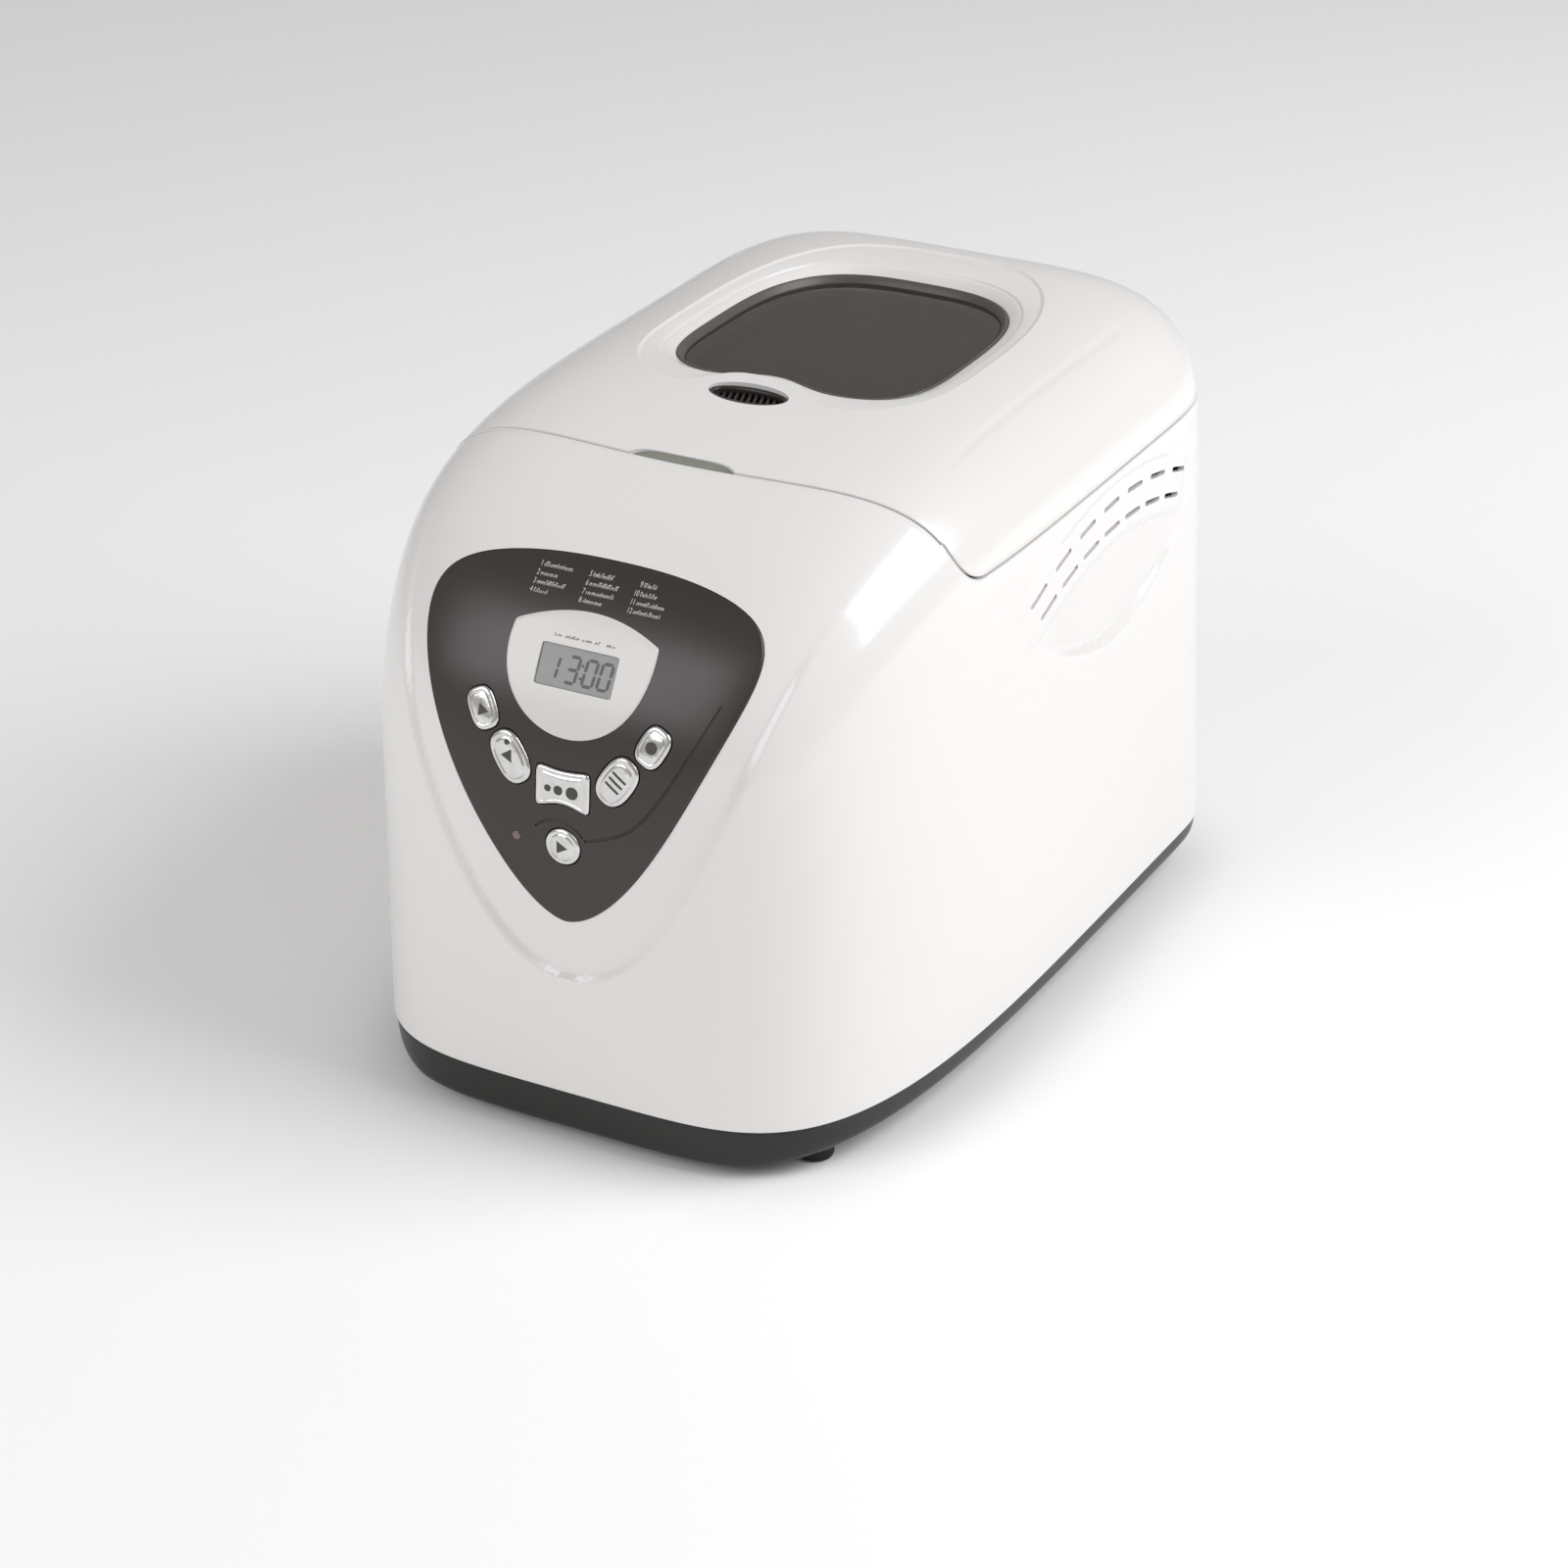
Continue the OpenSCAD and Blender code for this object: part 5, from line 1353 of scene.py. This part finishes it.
posts = [solid("post", lathe([(5.6, 11.3), (5.5, 14), (5.3, 44), (1.5, 44), (1.5, 20.5)],
                             (sx * 106, y), 32), M["base"])
         for sx in (-1, 1) for y in (-118, 30, 160)]
posts += [solid("boss", lathe([(0.3, 8.7), (4.1, 8.7), (4.1, 6.02), (9.3, 6.02), (9.5, 6.3),
                               (9.5, 13), (0.3, 13)], (sx * FOOT_X, sy * FOOT_Y), 48), M["base"])
          for sx in (-1, 1) for sy in (-1, 1)]
joined("black_base_tray", [tray] + posts, 36, "housing", ["base_tray"])
for sx, across in ((-1, "left"), (1, "right")):
    for sy, along_y in ((-1, "front"), (1, "rear")):
        profile = [(0.3, 0.0), (5.5, 0.0), (7.2, 0.15), (8.1, 0.7), (8.5, 1.6), (8.5, 5.2),
                   (8.2, 5.8), (7.6, 6.0), (3.9, 6.0), (3.9, 8.3), (3.4, 8.5), (0.3, 8.5)]
        solid(f"rubber_foot_{along_y}_{across}", lathe(profile, (sx * FOOT_X, sy * FOOT_Y), 64),
              M["rubber"], "housing", [f"foot_{along_y}_{across}"], 50)

# ---------------------------------------------------------------- pan, handle and paddle
def pan_level(out, z):
    """The pan's outline, grown by out mm, at height z."""
    outline = rounded_box(PAN_W + 2 * out, PAN_D + 2 * out, max(PAN_CORNER + out, 4), 160)
    return level(outline + [0, AXIS_Y], z)


rings = []
for inset, z in ((60, 84), (9, 84), (5, 84.5), (2.2, 86), (0.7, 88.6), (0.05, 92), (0, 130),
                 (0, 202.0)):
    rings.append(pan_level(-inset, z))
rim = [(0.4, 202.1), (2.6, 202.2), (3.7, 202.6), (4.0, 203.2), (3.6, 203.8), (2.6, 204.0),
       (0.0, 204.0), (-1.2, 203.7), (-1.9, 202.8)]
for out, z in rim:
    rings.append(pan_level(out, z))
for inset, z in ((2.0, 200), (2.0, 130), (2.05, 93), (2.8, 89.4), (4.4, 87.3), (7, 86.3), (11, 86),
                 (60, 86)):
    rings.append(pan_level(-inset, z))
pan = solid("baking_pan", rings, M["nonstick"])
cut(pan, [solid("tool", lathe([(10, 80), (10, 90)], (0, AXIS_Y), 64), M["nonstick"])], crisp=50)
hand_over(pan, "pan", ["bread_pan"])

rest = math.radians(17)
pivot_z, arm, bend_r, hx = 197.0, 50.0, 9.0, 91.0
path = [(-hx, 3.2), (-hx, 14), (-hx, 28), (-hx, arm - bend_r)]
path += [(-hx + bend_r * (1 - math.cos(a)), arm - bend_r + bend_r * math.sin(a))
         for a in np.radians(np.arange(11.25, 91, 11.25))]
path += [(x, arm) for x in np.linspace(-hx + bend_r + 6, 0, 14)]
path += [(-x, y) for x, y in path[::-1][1:]]
pts = [(x, AXIS_Y + y * math.cos(rest), pivot_z + y * math.sin(rest)) for x, y in path]
rings = tube(pts, 2.5, 20)
bail = solid("pan_bail", rings, M["alu"])
eyes = []
for s in (-1, 1):
    eye = [np.stack([s * hx + x + 0 * q, AXIS_Y + r * np.cos(q), pivot_z + r * np.sin(q)], -1)
           for x, r in ((-3, 3.9), (-3, 4.1), (-2.7, 4.5), (2.7, 4.5), (3, 4.1), (3, 3.9))
           for q in [np.linspace(0, 2 * pi, 41)[:-1]]]
    e = solid("eye", eye, M["alu"])
    cut(e, [barrel(s * hx - 5, s * hx + 5, 4.12, AXIS_Y, pivot_z, 40)], crisp=40)
    eyes.append(e)
joined("pan_bail_handle", [bail] + eyes, 45, "handle", ["pan_handle"])


def paddle_piece():
    hub = solid("hub", lathe([(4.02, 93.0), (8.6, 93.0), (9.6, 93.5), (10, 94.4), (10, 112),
                              (9.2, 114.2), (7.6, 115.0), (0.3, 115.0)], (0, AXIS_Y), 64),
                M["nonstick"])
    cut(hub, [solid("tool", lathe([(4, 90), (4, 113)], (0, AXIS_Y), 48), M["nonstick"])], crisp=40)
    x = np.linspace(6.5, 56, 40)
    top = 93 + np.interp(x, [6, 10, 22, 34, 40, 46, 50, 53, 56],
                         [16, 21, 33.4, 33.9, 33, 30, 26.5, 22.5, 17])
    rings = []
    for i, xi in enumerate(x):
        h = top[i] - 93.0
        a = np.linspace(0, 2 * pi, 33)[:-1]
        taper = 1 - 0.25 * (0.5 + 0.5 * np.sin(a))
        y = BLADE_HALF * np.sign(np.cos(a)) * np.abs(np.cos(a)) ** 0.5 * taper
        z = 93 + h * (0.5 + 0.5 * np.sign(np.sin(a)) * np.abs(np.sin(a)) ** 0.35)
        bulge = 5.2 * (1 - np.clip((z - 93) / 8.5, 0, 1)) ** 1.2 * (1 - (xi / 60) ** 4)
        rings.append(np.column_stack([np.full(32, xi), AXIS_Y + y + np.sign(y) * bulge, z]))
    blade = solid("blade", rings, M["nonstick"])
    joined("dough_paddle", [hub, blade], 40, "paddle", ["kneading_paddle"])


paddle_piece()

# ---------------------------------------------------------------- finishes of the other parts
FINISH = dict(
    board=["control_board", "power_board"],
    black=["board_switches", "drive_pulley", "motor_pulley"],
    white=["top_deck"], steel=["oven_chamber", "lid_liner", "chassis_plate", "chamber_stands"],
    hot=["heating_element"], ceramic=["element_bushes"],
    bright=["temperature_sensor", "pan_clips", "paddle_shaft", "drive_shaft", "chassis_screws",
            "liner_screws", "hinge_pins", "motor_rotor"],
    alu=["pan_socket", "pan_skirt", "handle_ears", "drive_coupling", "motor_housing"],
    bronze=["pan_bush", "drive_bearing"], belt=["drive_belt", "motor_mounts"], fan=["motor_fan"],
    can=["run_capacitor"], clear=["inner_glass"], hinge=["lid_hinge_arms", "hinge_brackets"],
    rubber=["cord_gland"])
for key, nodes in FINISH.items():
    for node in nodes:
        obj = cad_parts[node]
        obj.data.materials.clear()
        obj.data.materials.append(M[key])


# ---------------------------------------------------------------- floor, lights and camera
def studio():
    floor_mat = bpy.data.materials.new("studio_floor")
    floor_mat.use_nodes = True
    tree = floor_mat.node_tree
    b = tree.nodes["Principled BSDF"]
    tint = use_group(tree, "tint", Light=(0.97, 0.97, 0.97, 1), Dark=(0.95, 0.95, 0.95, 1),
                     Scale=0.7, Amount=0.4)
    tree.links.new(tint.outputs["Color"], b.inputs["Base Color"])
    b.inputs["Roughness"].default_value = 0.9
    b.inputs["Specular IOR Level"].default_value = 0.1
    n = 40
    verts, faces = [], []
    for j in range(n):
        s = j / (n - 1)
        if s < 0.6:
            y, z = -3.5 + 6.5 * s / 0.6, 0.0
        else:
            a = (s - 0.6) / 0.4 * pi / 2
            y, z = 3.0 + 2.6 * math.sin(a), 2.6 * (1 - math.cos(a))
        verts += [(-6, y, z), (6, y, z)]
    verts += [(-6, 5.6, 7), (6, 5.6, 7)]
    for j in range(n):
        faces.append((2 * j, 2 * j + 1, 2 * j + 3, 2 * j + 2))
    mesh = bpy.data.meshes.new("studio_sweep")
    mesh.from_pydata(verts, [], faces)
    mesh.materials.append(floor_mat)
    mesh.polygons.foreach_set("use_smooth", [True] * len(mesh.polygons))
    sweep = bpy.data.objects.new("studio_sweep", mesh)
    bpy.context.collection.objects.link(sweep)

    world = bpy.data.worlds.new("studio")
    bpy.context.scene.world = world
    world.use_nodes = True
    bg = world.node_tree.nodes["Background"]
    bg.inputs["Color"].default_value = (1.0, 0.975, 0.955, 1)
    bg.inputs["Strength"].default_value = 0.40

    def panel_light(name, spot_at, look, size, power, colour=(1, 1, 1)):
        data = bpy.data.lights.new(name, "AREA")
        data.shape = "RECTANGLE"
        data.size, data.size_y = size
        data.energy = power
        data.color = colour
        lamp = bpy.data.objects.new(name, data)
        bpy.context.collection.objects.link(lamp)
        d = np.array(look, float) - np.array(spot_at, float)
        yaw = math.atan2(d[1], d[0]) - pi / 2
        pitch = math.atan2(-d[2], math.hypot(d[0], d[1]))
        lamp.location = spot_at
        lamp.rotation_euler = (pi / 2 - pitch, 0, yaw)

    panel_light("front_left", (-1.2, -2.3, 1.6), (-0.1, 0, 0.2), (1.8, 1.8), 29, (0.97, 0.985, 1.0))
    panel_light("top_right", (1.9, 0.5, 1.8), (0.05, 0.0, 0.2), (1.9, 1.9), 54, (0.97, 0.985, 1.0))
    bpy.context.scene.view_settings.view_transform = "Standard"


def camera_at():
    az, el, dist = math.radians(28.0), math.radians(26.8), 2.2164
    target = np.array([-0.1261, 0.2315, -0.0466])
    back = np.array([math.sin(az) * math.cos(el), -math.cos(az) * math.cos(el), math.sin(el)])
    data = bpy.data.cameras.new("camera")
    data.lens, data.sensor_width = 93.73, 36.0
    data.clip_start, data.clip_end = 0.05, 50
    cam = bpy.data.objects.new("camera", data)
    bpy.context.collection.objects.link(cam)
    cam.location = (target + back * dist).tolist()
    cam.rotation_euler = (pi / 2 - el, 0, az)
    bpy.context.scene.camera = cam


studio()
camera_at()
